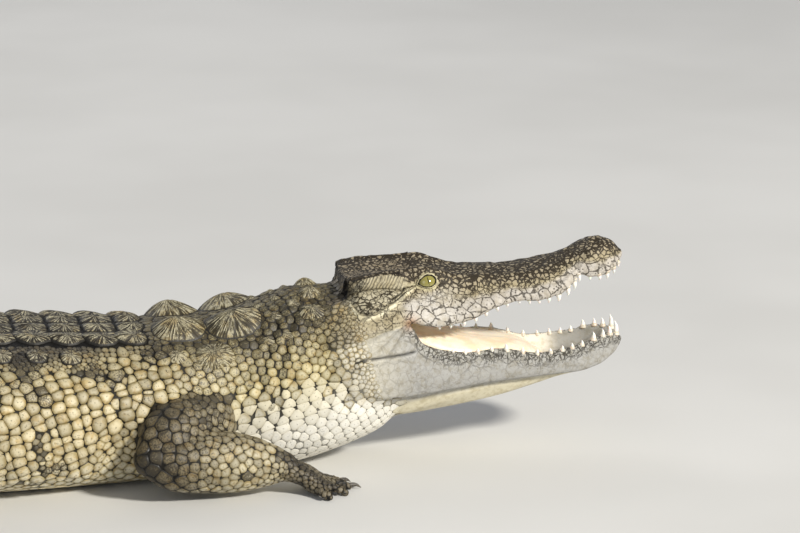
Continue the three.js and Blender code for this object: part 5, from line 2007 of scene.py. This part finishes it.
def jaw_marks(j, q, blotch):
    """The lower jaw: grey sides, a paler cheek and throat, and the mouth's pale floor, grey in front."""
    x, rim = j[:, 0], j[:, 2] - rim_height(j[:, 0])
    upper = smoothstep(-26, -6, rim) * smoothstep(62, 90, x)
    gular, lining = smoothstep(8.0, 8.4, q), smoothstep(3.3, 2.9, q)
    plain = np.maximum(gular, lining)
    tint = tone(colour(0.39, 0.382, 0.36), colour(0.36, 0.35, 0.32), smoothstep(-20, -4, rim))
    plates, cracks = mix(0.22 + 0.65 * upper, 0.0, plain), mix(0.1 + 0.3 * upper, 0.0, plain)
    marks = Marks(tint, 0.08 + 0.3 * upper + 0.08 * blotch, plates, cracks)
    marks.lay(smoothstep(100, 16, x), (0.61, 0.575, 0.48))
    marks.lay(gular, (0.64, 0.59, 0.44), dusk=0.0)
    marks.lay(lining, (0.82, 0.78, 0.68), dusk=0.03)
    marks.lay(lining * smoothstep(268, 300, x), (0.24, 0.24, 0.23), 0.85)
    return marks


def markings(points, label, q):
    """Tint and dusk anywhere on the hide, the head's own looks, and how bare of scales the hide is."""
    tint, dusk = ground_tint(points, label)
    head_tint, looks = head_marks(points, q, label)
    h = body_to_head(points)
    on_head = head_or_jaw(label)
    start = mix(-22, -14, smoothstep(-40, -56, h[:, 2]))
    bare = smoothstep(start, start + 18, h[:, 0]) * on_head
    near = smoothstep(-60, -14, h[:, 0]) * on_head
    tint = tint + (head_tint - tint) * near[:, None]
    return tint, mix(dusk, looks[:, 0], near), looks, bare


# ------------------------------------------------------------------ materials
def rgb(r, g, b):
    return (r, g, b, 1.0)


class Shader:
    """A material on one Principled shader, built node by node."""

    def __init__(self, name, **constants):
        self.material = bpy.data.materials.new(name)
        self.material.use_nodes = True
        self.tree = self.material.node_tree
        self.surface = self.tree.nodes["Principled BSDF"]
        for socket, value in constants.items():
            self.surface.inputs[socket.replace("_", " ")].default_value = value
        self.place = self.node("ShaderNodeTexCoord").outputs["Object"]

    def node(self, kind, settings=None, inputs=None):
        """Adds a node, with its settings, and with a value or a link for each input."""
        made = self.tree.nodes.new(kind)
        for key, value in (settings or {}).items():
            setattr(made, key, value)
        for key, value in (inputs or {}).items():
            if isinstance(value, bpy.types.NodeSocket):
                self.tree.links.new(value, made.inputs[key])
            else:
                made.inputs[key].default_value = value
        return made

    def attribute(self, name, output="Fac"):
        return self.node("ShaderNodeAttribute", {"attribute_name": name}).outputs[output]

    def noise(self, scale, detail=4, rough=0.6, place=None, output="Fac"):
        inputs = {"Vector": place or self.place, "Scale": scale, "Detail": detail, "Roughness": rough}
        return self.node("ShaderNodeTexNoise", None, inputs).outputs[output]

    def cells(self, scale, place=None, feature="DISTANCE_TO_EDGE"):
        """The distance to the edge, or to the middle, of irregular cells."""
        inputs = {"Vector": place or self.place, "Scale": scale}
        return self.node("ShaderNodeTexVoronoi", {"feature": feature}, inputs).outputs["Distance"]

    def math(self, operation, a, b=0.5, c=None, clamp=False):
        inputs = {0: a, 1: b} if c is None else {0: a, 1: b, 2: c}
        return self.node("ShaderNodeMath", {"operation": operation, "use_clamp": clamp}, inputs).outputs[0]

    def span(self, value, low, high, to_low=0.0, to_high=1.0):
        """Maps low..high of a value smoothly onto to_low..to_high."""
        inputs = {"Value": value, "From Min": low, "From Max": high, "To Min": to_low, "To Max": to_high}
        return self.node("ShaderNodeMapRange", {"interpolation_type": "SMOOTHSTEP"}, inputs).outputs[0]

    def blend(self, a, b, share, kind="MIX"):
        """Turns colour a into b by the share, or multiplies them."""
        inputs = {0: share, 6: a, 7: b}
        return self.node("ShaderNodeMix", {"data_type": "RGBA", "blend_type": kind}, inputs).outputs[2]

    def warped(self, size, amount):
        """The object's coordinates, shaken by a noise of the given scale."""
        shake = self.noise(size, 3, output="Color")
        scaled = self.node("ShaderNodeVectorMath", {"operation": "MULTIPLY_ADD"},
                           {0: shake, 1: (amount,) * 3, 2: self.place})
        return scaled.outputs[0]

    def finish(self, colour, roughness=None, height=None, bump=0.5, depth=0.001):
        """Wires colour, roughness and bump to the shader, and returns the material."""
        links = self.tree.links
        links.new(colour, self.surface.inputs["Base Color"])
        if roughness is not None:
            links.new(roughness, self.surface.inputs["Roughness"])
        if height is not None:
            made = self.node("ShaderNodeBump", None, {"Strength": bump, "Distance": depth, "Height": height})
            links.new(made.outputs[0], self.surface.inputs["Normal"])
        return self.material


def hide_material():
    """The bare skin: dark in the grooves between scales, cracked and specked on the head."""
    sh = Shader("hide_skin", Specular_IOR_Level=0.25)
    tint = sh.attribute("Tint", "Color")
    look = sh.node("ShaderNodeSeparateColor", None, {0: sh.attribute("Look", "Color")}).outputs
    dusk, plates, cracks = look[0], look[1], look[2]
    plate_edge = sh.cells(78, sh.warped(70, 0.009))
    net = sh.cells(165, sh.warped(150, 0.007))
    specks = sh.noise(520, 3, 0.7)
    blotches = sh.noise(120, 4, 0.65)
    level = sh.math("ADD", sh.math("MULTIPLY", net, 1.2), sh.math("MULTIPLY", specks, 0.6))
    level = sh.math("ADD", level, sh.math("MULTIPLY", blotches, 0.35))
    limit = sh.math("MULTIPLY_ADD", dusk, 0.66, 0.27)
    cover = sh.math("MULTIPLY_ADD", sh.math("SUBTRACT", limit, level), 7.0, 0.5, clamp=True)
    cover = sh.math("MULTIPLY", cover, sh.span(dusk, 0.0, 0.06))
    dark = sh.blend(tint, rgb(0.085, 0.075, 0.06), 1.0, "MULTIPLY")
    washed = sh.blend(tint, rgb(0.80, 0.77, 0.70), 1.0, "MULTIPLY")
    wash = sh.blend(tint, washed, sh.span(blotches, 0.42, 0.68))
    base = sh.blend(wash, dark, cover)
    broken = sh.span(sh.noise(95, 3, 0.6), 0.34, 0.54, 0.3, 1.0)
    plate_line = sh.math("MULTIPLY", sh.math("MULTIPLY", sh.span(plate_edge, 0.08, 0.03), plates), broken)
    crack_line = sh.math("MULTIPLY", sh.span(net, 0.12, 0.03), cracks)
    lines = sh.math("MAXIMUM", plate_line, sh.math("MULTIPLY", crack_line, 0.75))
    pores = sh.span(sh.cells(210, feature="F1"), 0.3, 0.15)
    lines = sh.math("MAXIMUM", lines, sh.math("MULTIPLY", sh.math("MULTIPLY", pores, plates), 0.9))
    base = sh.blend(base, dark, sh.math("MULTIPLY", lines, 0.94))
    height = sh.math("SUBTRACT", sh.math("MULTIPLY", specks, 0.3), sh.math("ADD", lines, cover))
    rough = sh.span(specks, 0.3, 0.7, 0.42, 0.7)
    return sh.finish(base, rough, height, 0.55, 0.0008)


def scale_material(name, streaks=False):
    """Scales: pale and specked on top, olive towards the rim, partly as painted shade of the sloping edge,
    dark in the groove, and streaked on scutes.
    """
    sh = Shader(name, Specular_IOR_Level=0.45)
    tint = sh.attribute("Tint", "Color")
    form = sh.node("ShaderNodeSeparateColor", None, {0: sh.attribute("Form", "Color")}).outputs
    rim, dusk, chance = form[0], form[1], form[2]
    blotches = sh.noise(170, 5, 0.65)
    specks = sh.noise(560, 3, 0.7)
    varied = sh.span(dusk, 0.0, 0.12, 0.25, 1.0)
    tone_shift = sh.math("MULTIPLY_ADD", sh.span(chance, 0.0, 1.0, -0.22, 0.15), varied, 1.0)
    base = sh.node("ShaderNodeVectorMath", {"operation": "SCALE"}, {0: tint, "Scale": tone_shift}).outputs[0]
    dark = sh.blend(base, rgb(0.10, 0.085, 0.06), 1.0, "MULTIPLY")
    olive = sh.blend(base, rgb(0.50, 0.44, 0.27), 1.0, "MULTIPLY")
    # Olive towards the rim, broken by blotches: the scales' own olive edges and painted shade on their sloping
    # flanks.
    olive_rim_and_shade = sh.span(sh.math("MULTIPLY_ADD", blotches, 0.9, rim), 0.8, 1.5)
    base = sh.blend(base, olive, sh.math("MULTIPLY", olive_rim_and_shade, varied))
    if streaks:
        spoke = sh.attribute("Spoke", "Vector")
        fibres = sh.noise(1.0, 3, 0.55, place=spoke)
        lit = sh.span(fibres, 0.505, 0.56)
        worn = sh.math("MULTIPLY", lit, sh.span(blotches, 0.3, 0.5, 0.55, 1.0))
        cream = sh.blend(base, rgb(0.43, 0.39, 0.265), sh.span(rim, 0.97, 0.85, 0.0, 0.92))
        base = sh.blend(sh.blend(base, dark, sh.span(fibres, 0.51, 0.43, 0.0, 0.9)), cream, worn)
    stain = sh.span(sh.noise(75, 3, 0.6), 0.5, 0.68, 0.0, 0.7)
    stain = sh.math("MULTIPLY", stain, sh.span(dusk, 0.0, 0.12))
    base = sh.blend(base, sh.blend(base, rgb(0.85, 0.70, 0.42), 1.0, "MULTIPLY"), stain)
    grime = sh.math("ADD", sh.math("MULTIPLY", specks, 0.6), sh.math("MULTIPLY", blotches, 0.4))
    limit = sh.math("MULTIPLY_ADD", dusk, 0.21, 0.375)
    cover = sh.math("MULTIPLY_ADD", sh.math("SUBTRACT", limit, grime), 12.0, 0.5, clamp=True)
    base = sh.blend(base, dark, sh.math("MULTIPLY", cover, 0.85))
    base = sh.blend(base, dark, sh.span(rim, 0.1, 0.04, 0.0, 0.75))
    line = sh.math("MULTIPLY_ADD", dusk, 0.13, rim)
    base = sh.blend(base, rgb(0.014, 0.012, 0.008), sh.span(line, 0.95, 0.99, 0.0, 0.97))
    rough = sh.span(specks, 0.3, 0.75, 0.42, 0.72)
    height = sh.math("ADD", sh.math("MULTIPLY", blotches, 0.6), sh.math("MULTIPLY", specks, 0.4))
    if streaks:
        height = sh.math("ADD", height, sh.math("MULTIPLY", fibres, 1.6))
    return sh.finish(base, rough, height, 0.5, 0.0007)




# ------------------------------------------------------------------ teeth, claws, tongue and eyes
HORN_REFERENCE = np.array([0, 1.0, 0.02])  # a direction that no tooth or claw runs in


def horn(path, radii, sides, flat=1.0):
    """The rings of a tapering horn along a curved path."""
    centres, along, _ = catmull(path, np.linspace(0, 1, len(radii)))
    across = unit(np.cross(HORN_REFERENCE, along))
    other = np.cross(along, across)
    turn = np.arange(sides) * 2 * np.pi / sides
    r = np.array(radii)[:, None, None]
    ring = across[:, None] * np.cos(turn)[None, :, None] + other[:, None] * flat * np.sin(turn)[None, :, None]
    return centres[:, None] + ring * r


def joined_lofts(grids):
    """Closed lofts joined into one set of points and triangles, with each point's share along its loft."""
    points, triangles, shares, start = [], [], [], 0
    for grid in grids:
        p, t = closed_loft(grid)
        points.append(p)
        triangles.append(t + start)
        shares.append(np.concatenate([np.repeat(np.linspace(0, 1, len(grid)), grid.shape[1]), [0, 1]]))
        start += len(p)
    return np.concatenate(points), np.concatenate(triangles), np.concatenate(shares)


TOOTH_SIDES, CLAW_SIDES = 12, 14
TOOTH_TAPER = [1.0, 1.02, 0.98, 0.9, 0.76, 0.56, 0.3, 0.06]
GUM_TAPER = [1.75, 1.7, 1.55, 1.35, 1.1]
CLAW_RADII = [3.4, 3.7, 3.5, 3.1, 2.5, 1.8, 1.1, 0.4]
TOOTH_SWELL = 1.12  # the root's radius, in shares of the radius at the gum
TOOTH_ROOT = 4.5  # how deep a tooth stands in the jaw
TOOTH_ROWS = (
    (UPPER_TEETH, lip_half_width, lip_height, 0.89, -1, head_to_body),
    (LOWER_TEETH, jaw_half_width, rim_height, 0.91, 1, jaw_to_body),
)


def tooth_places():
    """Each tooth's length and radius, its foot on the jaw, its side and way up, and where its jaw lies."""
    for rows, half, level, share, up, place in TOOTH_ROWS:
        for x, length, radius in rows:
            for hand in (1, -1):
                foot = np.array([x, float(half(x)) * share * hand, float(level(x))])
                yield length, radius, foot, hand, up, place


def placed(grid, place):
    """A grid of rings moved by a function of points."""
    return place(grid.reshape(-1, 3)).reshape(grid.shape)


def tooth_grids():
    """Curved conical teeth in both rows, each with its root in the gum."""
    for length, radius, foot, hand, up, place in tooth_places():
        reach = length * rng.uniform(0.92, 1.08)
        lean = rng.uniform(-0.6, 0.6)
        root = foot - [0, 0, up * TOOTH_ROOT]
        middle = foot + [lean, hand * 0.8, up * reach * 0.5]
        tip = foot + [lean - length * 0.16, hand * 0.2, up * reach]
        radii = [radius * TOOTH_SWELL * taper for taper in TOOTH_TAPER]
        yield placed(horn([root, middle, tip], radii, TOOTH_SIDES), place)


def gum_grids():
    """Low collars of gum round the teeth."""
    for _, radius, foot, _, up, place in tooth_places():
        path = [foot + [0, 0, up * z] for z in (-3.0, -0.6, 0.9)]
        yield placed(horn(path, [radius * taper for taper in GUM_TAPER], TOOTH_SIDES), place)


def claw_grids():
    """Curved claws on the inner toes of each foot, a little flatter than round."""
    for leg in LEGS.values():
        for toe in leg["toes"]:
            _, hook = toe_parts(toe)
            if hook:
                yield horn(hook, CLAW_RADII, CLAW_SIDES, 0.8)


def tongue_piece():
    """The tongue, lumpy on top with a groove in its middle."""
    grid, _ = outline_grid(tongue_half, steps(84, 266, 2.5), 10, 0.3)
    points, triangles = closed_loft(grid)
    x, y, z = points.T
    lumps = noise3(points * [0.45, 1, 1], 7, 51) * 0.7 + noise3(points * [0.3, 1, 1], 3, 52) * 0.25
    middle = np.exp(-((y / 5) ** 2)) * -0.9
    points[:, 2] += np.where(z > floor_height(x) + 2, lumps + middle, 0)
    return jaw_to_body(points), triangles


def eye_piece(hand):
    """An eyeball whose rings run out from its gaze, with the gaze's own coordinates at each point."""
    centre, ahead, up, out = eye_frame(hand)
    radius = EYE_RADIUS - 0.25
    angle = np.radians(np.concatenate([np.arange(1.2, 62, 1.2), np.arange(64, 178, 6)]))
    turn = np.arange(72) * 2 * np.pi / 72
    ring = ahead * np.cos(turn)[:, None] + up * np.sin(turn)[:, None]
    grid = centre + radius * (np.cos(angle)[:, None, None] * out + np.sin(angle)[:, None, None] * ring)
    points, triangles = closed_loft(grid)
    local = np.stack([(points - centre) @ ahead, (points - centre) @ up, (points - centre) @ out], axis=1)
    return head_to_body(points), triangles, local


def eye_material():
    """A wet golden iris with a dark rim and an upright slit, by the distances from the gaze."""
    sh = Shader("eye_wet", Roughness=0.08, Coat_Weight=1.0, Coat_Roughness=0.02, Specular_IOR_Level=0.6)
    aim = sh.node("ShaderNodeSeparateXYZ", None, {0: sh.attribute("Aim", "Vector")}).outputs
    across, up = aim[0], aim[1]
    reach = sh.math("SQRT", sh.math("ADD", sh.math("MULTIPLY", across, across), sh.math("MULTIPLY", up, up)))
    fibres = sh.noise(1300, 4, 0.7)
    gold = sh.blend(rgb(0.19, 0.168, 0.035), rgb(0.34, 0.295, 0.075), sh.span(fibres, 0.35, 0.65))
    rim = sh.span(reach, 8.6, 10.4)
    iris = sh.blend(gold, rgb(0.10, 0.09, 0.03), sh.math("MULTIPLY", rim, 0.85))
    bend = sh.math("MULTIPLY", sh.math("MULTIPLY", up, up), 0.012)
    slit = sh.math("ADD", sh.math("ABSOLUTE", across), bend)
    pupil = sh.span(slit, 0.75, 0.45)
    return sh.finish(sh.blend(iris, rgb(0.004, 0.004, 0.003), pupil))


def tooth_material():
    """Enamel, yellower and browner towards the gum."""
    sh = Shader("tooth_enamel", Specular_IOR_Level=0.55, Subsurface_Weight=0.1, Subsurface_Scale=0.002)
    share = sh.attribute("Share")
    stain = sh.noise(500, 4, 0.65)
    white = sh.blend(rgb(0.86, 0.84, 0.78), rgb(0.70, 0.62, 0.46), sh.span(stain, 0.5, 0.8, 0.0, 0.6))
    base = sh.blend(rgb(0.66, 0.56, 0.40), white, sh.span(share, 0.2, 0.45))
    return sh.finish(base, sh.span(stain, 0.3, 0.7, 0.25, 0.4), stain, 0.2, 0.0002)


def claw_material():
    """Dark streaked horn, a little paler at the tip."""
    sh = Shader("claw_horn", Specular_IOR_Level=0.5)
    share = sh.attribute("Share")
    streaks = sh.noise(700, 4, 0.6)
    base = sh.blend(rgb(0.05, 0.043, 0.034), rgb(0.20, 0.17, 0.125), sh.span(streaks, 0.45, 0.7, 0.0, 0.7))
    base = sh.blend(base, rgb(0.28, 0.24, 0.18), sh.span(share, 0.75, 1.0, 0.0, 0.4))
    return sh.finish(base, sh.span(streaks, 0.3, 0.7, 0.35, 0.55), streaks, 0.3, 0.0004)


def mouth_material(name, pale, warm):
    """The tongue's and the gums' moist flesh."""
    sh = Shader(name, Specular_IOR_Level=0.5, Subsurface_Weight=0.15, Subsurface_Scale=0.004,
                Subsurface_Radius=(1.0, 0.4, 0.2))
    broad, fine = sh.noise(45, 4, 0.6), sh.noise(520, 4, 0.65)
    base = sh.blend(pale, warm, sh.span(broad, 0.38, 0.68))
    specked = sh.blend(base, rgb(0.62, 0.5, 0.42), 1.0, "MULTIPLY")
    base = sh.blend(base, specked, sh.span(fine, 0.58, 0.8, 0.0, 0.7))
    return sh.finish(base, sh.span(fine, 0.3, 0.7, 0.3, 0.5), fine, 0.35, 0.0005)
# ------------------------------------------------------------------ the studio
# The camera looks from far off, so that one scale holds for the whole picture.
VIEW_AZIMUTH = math.radians(-10)
VIEW_RISE = math.radians(15)
MM_PER_PIXEL = 1.235
HEAD_ORIGIN_PIXEL = (341.0, 271.0)
PICTURE = (800, 533)
VIEW_DISTANCE = 6000.0


def view_axes():
    """The picture's directions right and up, and back from the animal to the camera."""
    a, e = VIEW_AZIMUTH, VIEW_RISE
    right = np.array([math.cos(a), math.sin(a), 0])
    back = np.array([math.sin(a) * math.cos(e), -math.cos(a) * math.cos(e), math.sin(e)])
    return right, np.cross(back, right), back


def make_camera():
    """Looks so that the head's origin falls on its place in the picture."""
    right, up, back = view_axes()
    across = (PICTURE[0] / 2 - HEAD_ORIGIN_PIXEL[0]) * MM_PER_PIXEL
    rise = (HEAD_ORIGIN_PIXEL[1] - PICTURE[1] / 2) * MM_PER_PIXEL
    target = HEAD_ORIGIN + SHIFT + right * across + up * rise
    data = bpy.data.cameras.new("camera")
    data.sensor_width = 36.0
    data.lens = data.sensor_width * VIEW_DISTANCE / (PICTURE[0] * MM_PER_PIXEL)
    data.clip_end = 100.0
    camera = bpy.data.objects.new("camera", data)
    bpy.context.scene.collection.objects.link(camera)
    matrix = np.eye(4)
    matrix[:3, :3] = np.column_stack([right, up, back])
    matrix[:3, 3] = (target + back * VIEW_DISTANCE) / 1000
    camera.matrix_world = Matrix(matrix.tolist())
    bpy.context.scene.camera = camera


def make_light(name, place, target, size, power, colour):
    """A round area light that shines from its place towards its target."""
    data = bpy.data.lights.new(name, "AREA")
    data.shape = "DISK"
    data.size = size
    data.energy = power
    data.color = colour
    light = bpy.data.objects.new(name, data)
    light.location = place
    light.rotation_euler = (Vector(target) - Vector(place)).to_track_quat("-Z", "Y").to_euler()
    bpy.context.scene.collection.objects.link(light)


LIGHTS = [  # name, place, target, size in metres, power in watts, colour
    ("key", (5.9, -6.6, 5.5), (0.5, 0, 0.1), 1.2, 1240, (1.0, 0.965, 0.89)),
    ("fill", (-2.2, -3.6, 2.0), (0.2, 0, 0.1), 3.0, 24, (0.92, 0.96, 1.0)),
    ("rim", (-0.6, 3.2, 2.8), (0.3, 0, 0.1), 2.4, 36, (1.0, 0.98, 0.95)),
]
FLOOR_REACH = 40.0
SKY_COLOUR, SKY_STRENGTH = rgb(0.80, 0.86, 1.0), 0.33


def make_studio():
    """A pale floor, a soft sky and three lights."""
    world = bpy.data.worlds.new("studio")
    world.use_nodes = True
    sky = world.node_tree.nodes["Background"].inputs
    sky["Color"].default_value = SKY_COLOUR
    sky["Strength"].default_value = SKY_STRENGTH
    bpy.context.scene.world = world
    corners = np.array([[-1, -1, 0], [1, -1, 0], [1, 1, 0], [-1, 1, 0]]) * FLOOR_REACH
    made = mesh_of("floor", corners, np.array([[0, 1, 2, 3]]))
    sh = Shader("floor_pale", Roughness=0.85)
    cloud = sh.span(sh.noise(1.3, 3), 0.3, 0.7)
    made.materials.append(sh.finish(sh.blend(rgb(0.62, 0.61, 0.58), rgb(0.68, 0.67, 0.64), cloud)))
    floor = bpy.data.objects.new("floor", made)
    bpy.context.scene.collection.objects.link(floor)
    floor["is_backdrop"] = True
    for light in LIGHTS:
        make_light(*light)
    bpy.context.scene.view_settings.view_transform = "Standard"


# ------------------------------------------------------------------ assembly
SMALL_KINDS = [DOME, PLATE, BEAD, WHORL]
GRANULE_SHADES = [0.2, 0.55, 1.15]
BLOCK_DUSK = 0.6  # how much of the hide's dusk the nape's plates and the crest take
GROOVE_SHADE, PALE_GROOVE_SHADE = 0.045, 0.3  # how light the skin between scales is
FLESH = [
    "head", "lower_jaw", "neck", "trunk", "tail_base", "tail_middle", "tail_tip",
    "upper_arm_right", "forearm_right", "fore_foot_right", "upper_arm_left", "forearm_left",
    "fore_foot_left", "thigh_right", "shank_right", "hind_foot_right", "thigh_left", "shank_left",
    "hind_foot_left",
]


def prepared_scales(points, label, q, hide):
    """All scales, with the unwrap, tint, dusk and region of each taken from the skin below it."""
    data = scale_table(lay_scales(points, label, hide))
    place = data["place"]
    _, _, hit, _ = hide.nearest(place)
    root = hide.triangles[hit][:, 0]
    data["uv"] = unwrap(place, label[root], q[root])
    data["tint"], data["dusk"] = markings(place, label[root], q[root])[:2]
    data["region"] = regions_of(place, label[root])
    granule = (data["kind"] == BEAD) & (data["region"] < TAIL_BASE)
    granule &= granular(place) & (place[:, 0] < -GRANULES_FROM)
    data["tint"][granule] *= rng.choice(GRANULE_SHADES, granule.sum())[:, None]
    return data


def dress(name, points, triangles, form, uv, spoke, tint, look):
    """One piece of the scaly coat, with its markings and its unwrap."""
    made = mesh_of(name, points, triangles)
    paint(made, "Tint", tint)
    paint(made, "Form", form)
    if spoke is not None:
        paint_vector(made, "Spoke", spoke)
    chart(made, uv)
    show(name, made, look)


def dress_scales(name, data, pick, kinds, surface, look):
    """The picked scales as one piece, each in its own tint."""
    points, triangles, form, uv, seed, spoke = region_arrays(data, pick, kinds, surface)
    form[:, 1] = data["dusk"][seed]
    dress(name, points, triangles, form, uv, spoke, data["tint"][seed], look)


def dress_blocks(name, arrays, look):
    """Raised plates or fins as one piece, in the hide's tint at each point."""
    points, triangles, form, spoke, uv = arrays
    tint, dusk = body_tint(points)
    form[:, 1] = dusk * BLOCK_DUSK
    dress(name, points, triangles, form, uv, spoke, tint, look)


def show_coat(data, hide):
    """The scales region by region, the back's scutes, the nape's plates and the tail's crest."""
    scute_look, scale_look = scale_material("hide_scutes", True), scale_material("hide_scales")
    for number, name in enumerate(REGIONS):
        dress_scales(f"scales_{name}", data, data["region"] == number, SMALL_KINDS, hide, scale_look)
    dress_scales("scutes", data, data["region"] >= 0, [DORSAL], hide, scute_look)
    dress_blocks("nape_plates", nape_plates(hide), scute_look)
    dress_blocks("tail_crest", crest_fins(), scute_look)


def show_horn(name, grids, material):
    """Teeth or claws, with each point's share of the way to the tip."""
    points, triangles, share = joined_lofts(grids)
    made = mesh_of(name, points, triangles)
    paint(made, "Share", share)
    show(name, made, material)


def show_mouth_and_claws():
    show_horn("teeth", tooth_grids(), tooth_material())
    points, triangles, _ = joined_lofts(gum_grids())
    gum_look = mouth_material("gum_moist", rgb(0.66, 0.60, 0.50), rgb(0.58, 0.49, 0.38))
    show("gums", mesh_of("gums", points, triangles), gum_look)
    show_horn("claws", claw_grids(), claw_material())
    points, triangles = tongue_piece()
    tongue_look = mouth_material("tongue_moist", rgb(0.86, 0.78, 0.64), rgb(0.82, 0.68, 0.49))
    show("tongue_soft", mesh_of("tongue_soft", points, triangles), tongue_look, ["tongue"])


def show_eyes():
    look = eye_material()
    for hand, side in ((1, "left"), (-1, "right")):
        points, triangles, local = eye_piece(hand)
        made = mesh_of(f"eyeball_{side}", points, triangles)
        paint_vector(made, "Aim", local)
        show(f"eyeball_{side}", made, look, [f"eye_{side}"])


def show_skin(skin, points, label, q):
    """The skin: in its own colours where the head is bare, and dark in the grooves between scales."""
    tint, _, looks, bare = markings(points, label, q)
    head = smoothstep(-60, -10, body_to_head(points)[:, 0]) * head_or_jaw(label)
    pale = smoothstep(0.55, 0.8, tint[:, 1]) * (label == BODY)
    groove = GROOVE_SHADE + PALE_GROOVE_SHADE * np.maximum(head, pale)
    paint(skin, "Tint", tint * mix(groove, 1.0, bare)[:, None])
    paint(skin, "Look", looks * bare[:, None])
    show("skin", skin, hide_material(), FLESH)


def assemble():
    """Makes every piece. The random draws depend on this order."""
    make_camera()
    make_studio()
    skin, label, q = make_skin()
    sculpt(skin, label, q)
    points, _, _ = mesh_arrays(skin)
    hide = Surface(points, mesh_triangles(skin))
    show_coat(prepared_scales(points, label, q, hide), hide)
    show_mouth_and_claws()
    show_eyes()
    show_skin(skin, points, label, q)


assemble()
boxes = {"cad": CAD_BOX, "visual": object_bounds()}
{name: [list(low), list(high)] for name, (low, high) in boxes.items()}
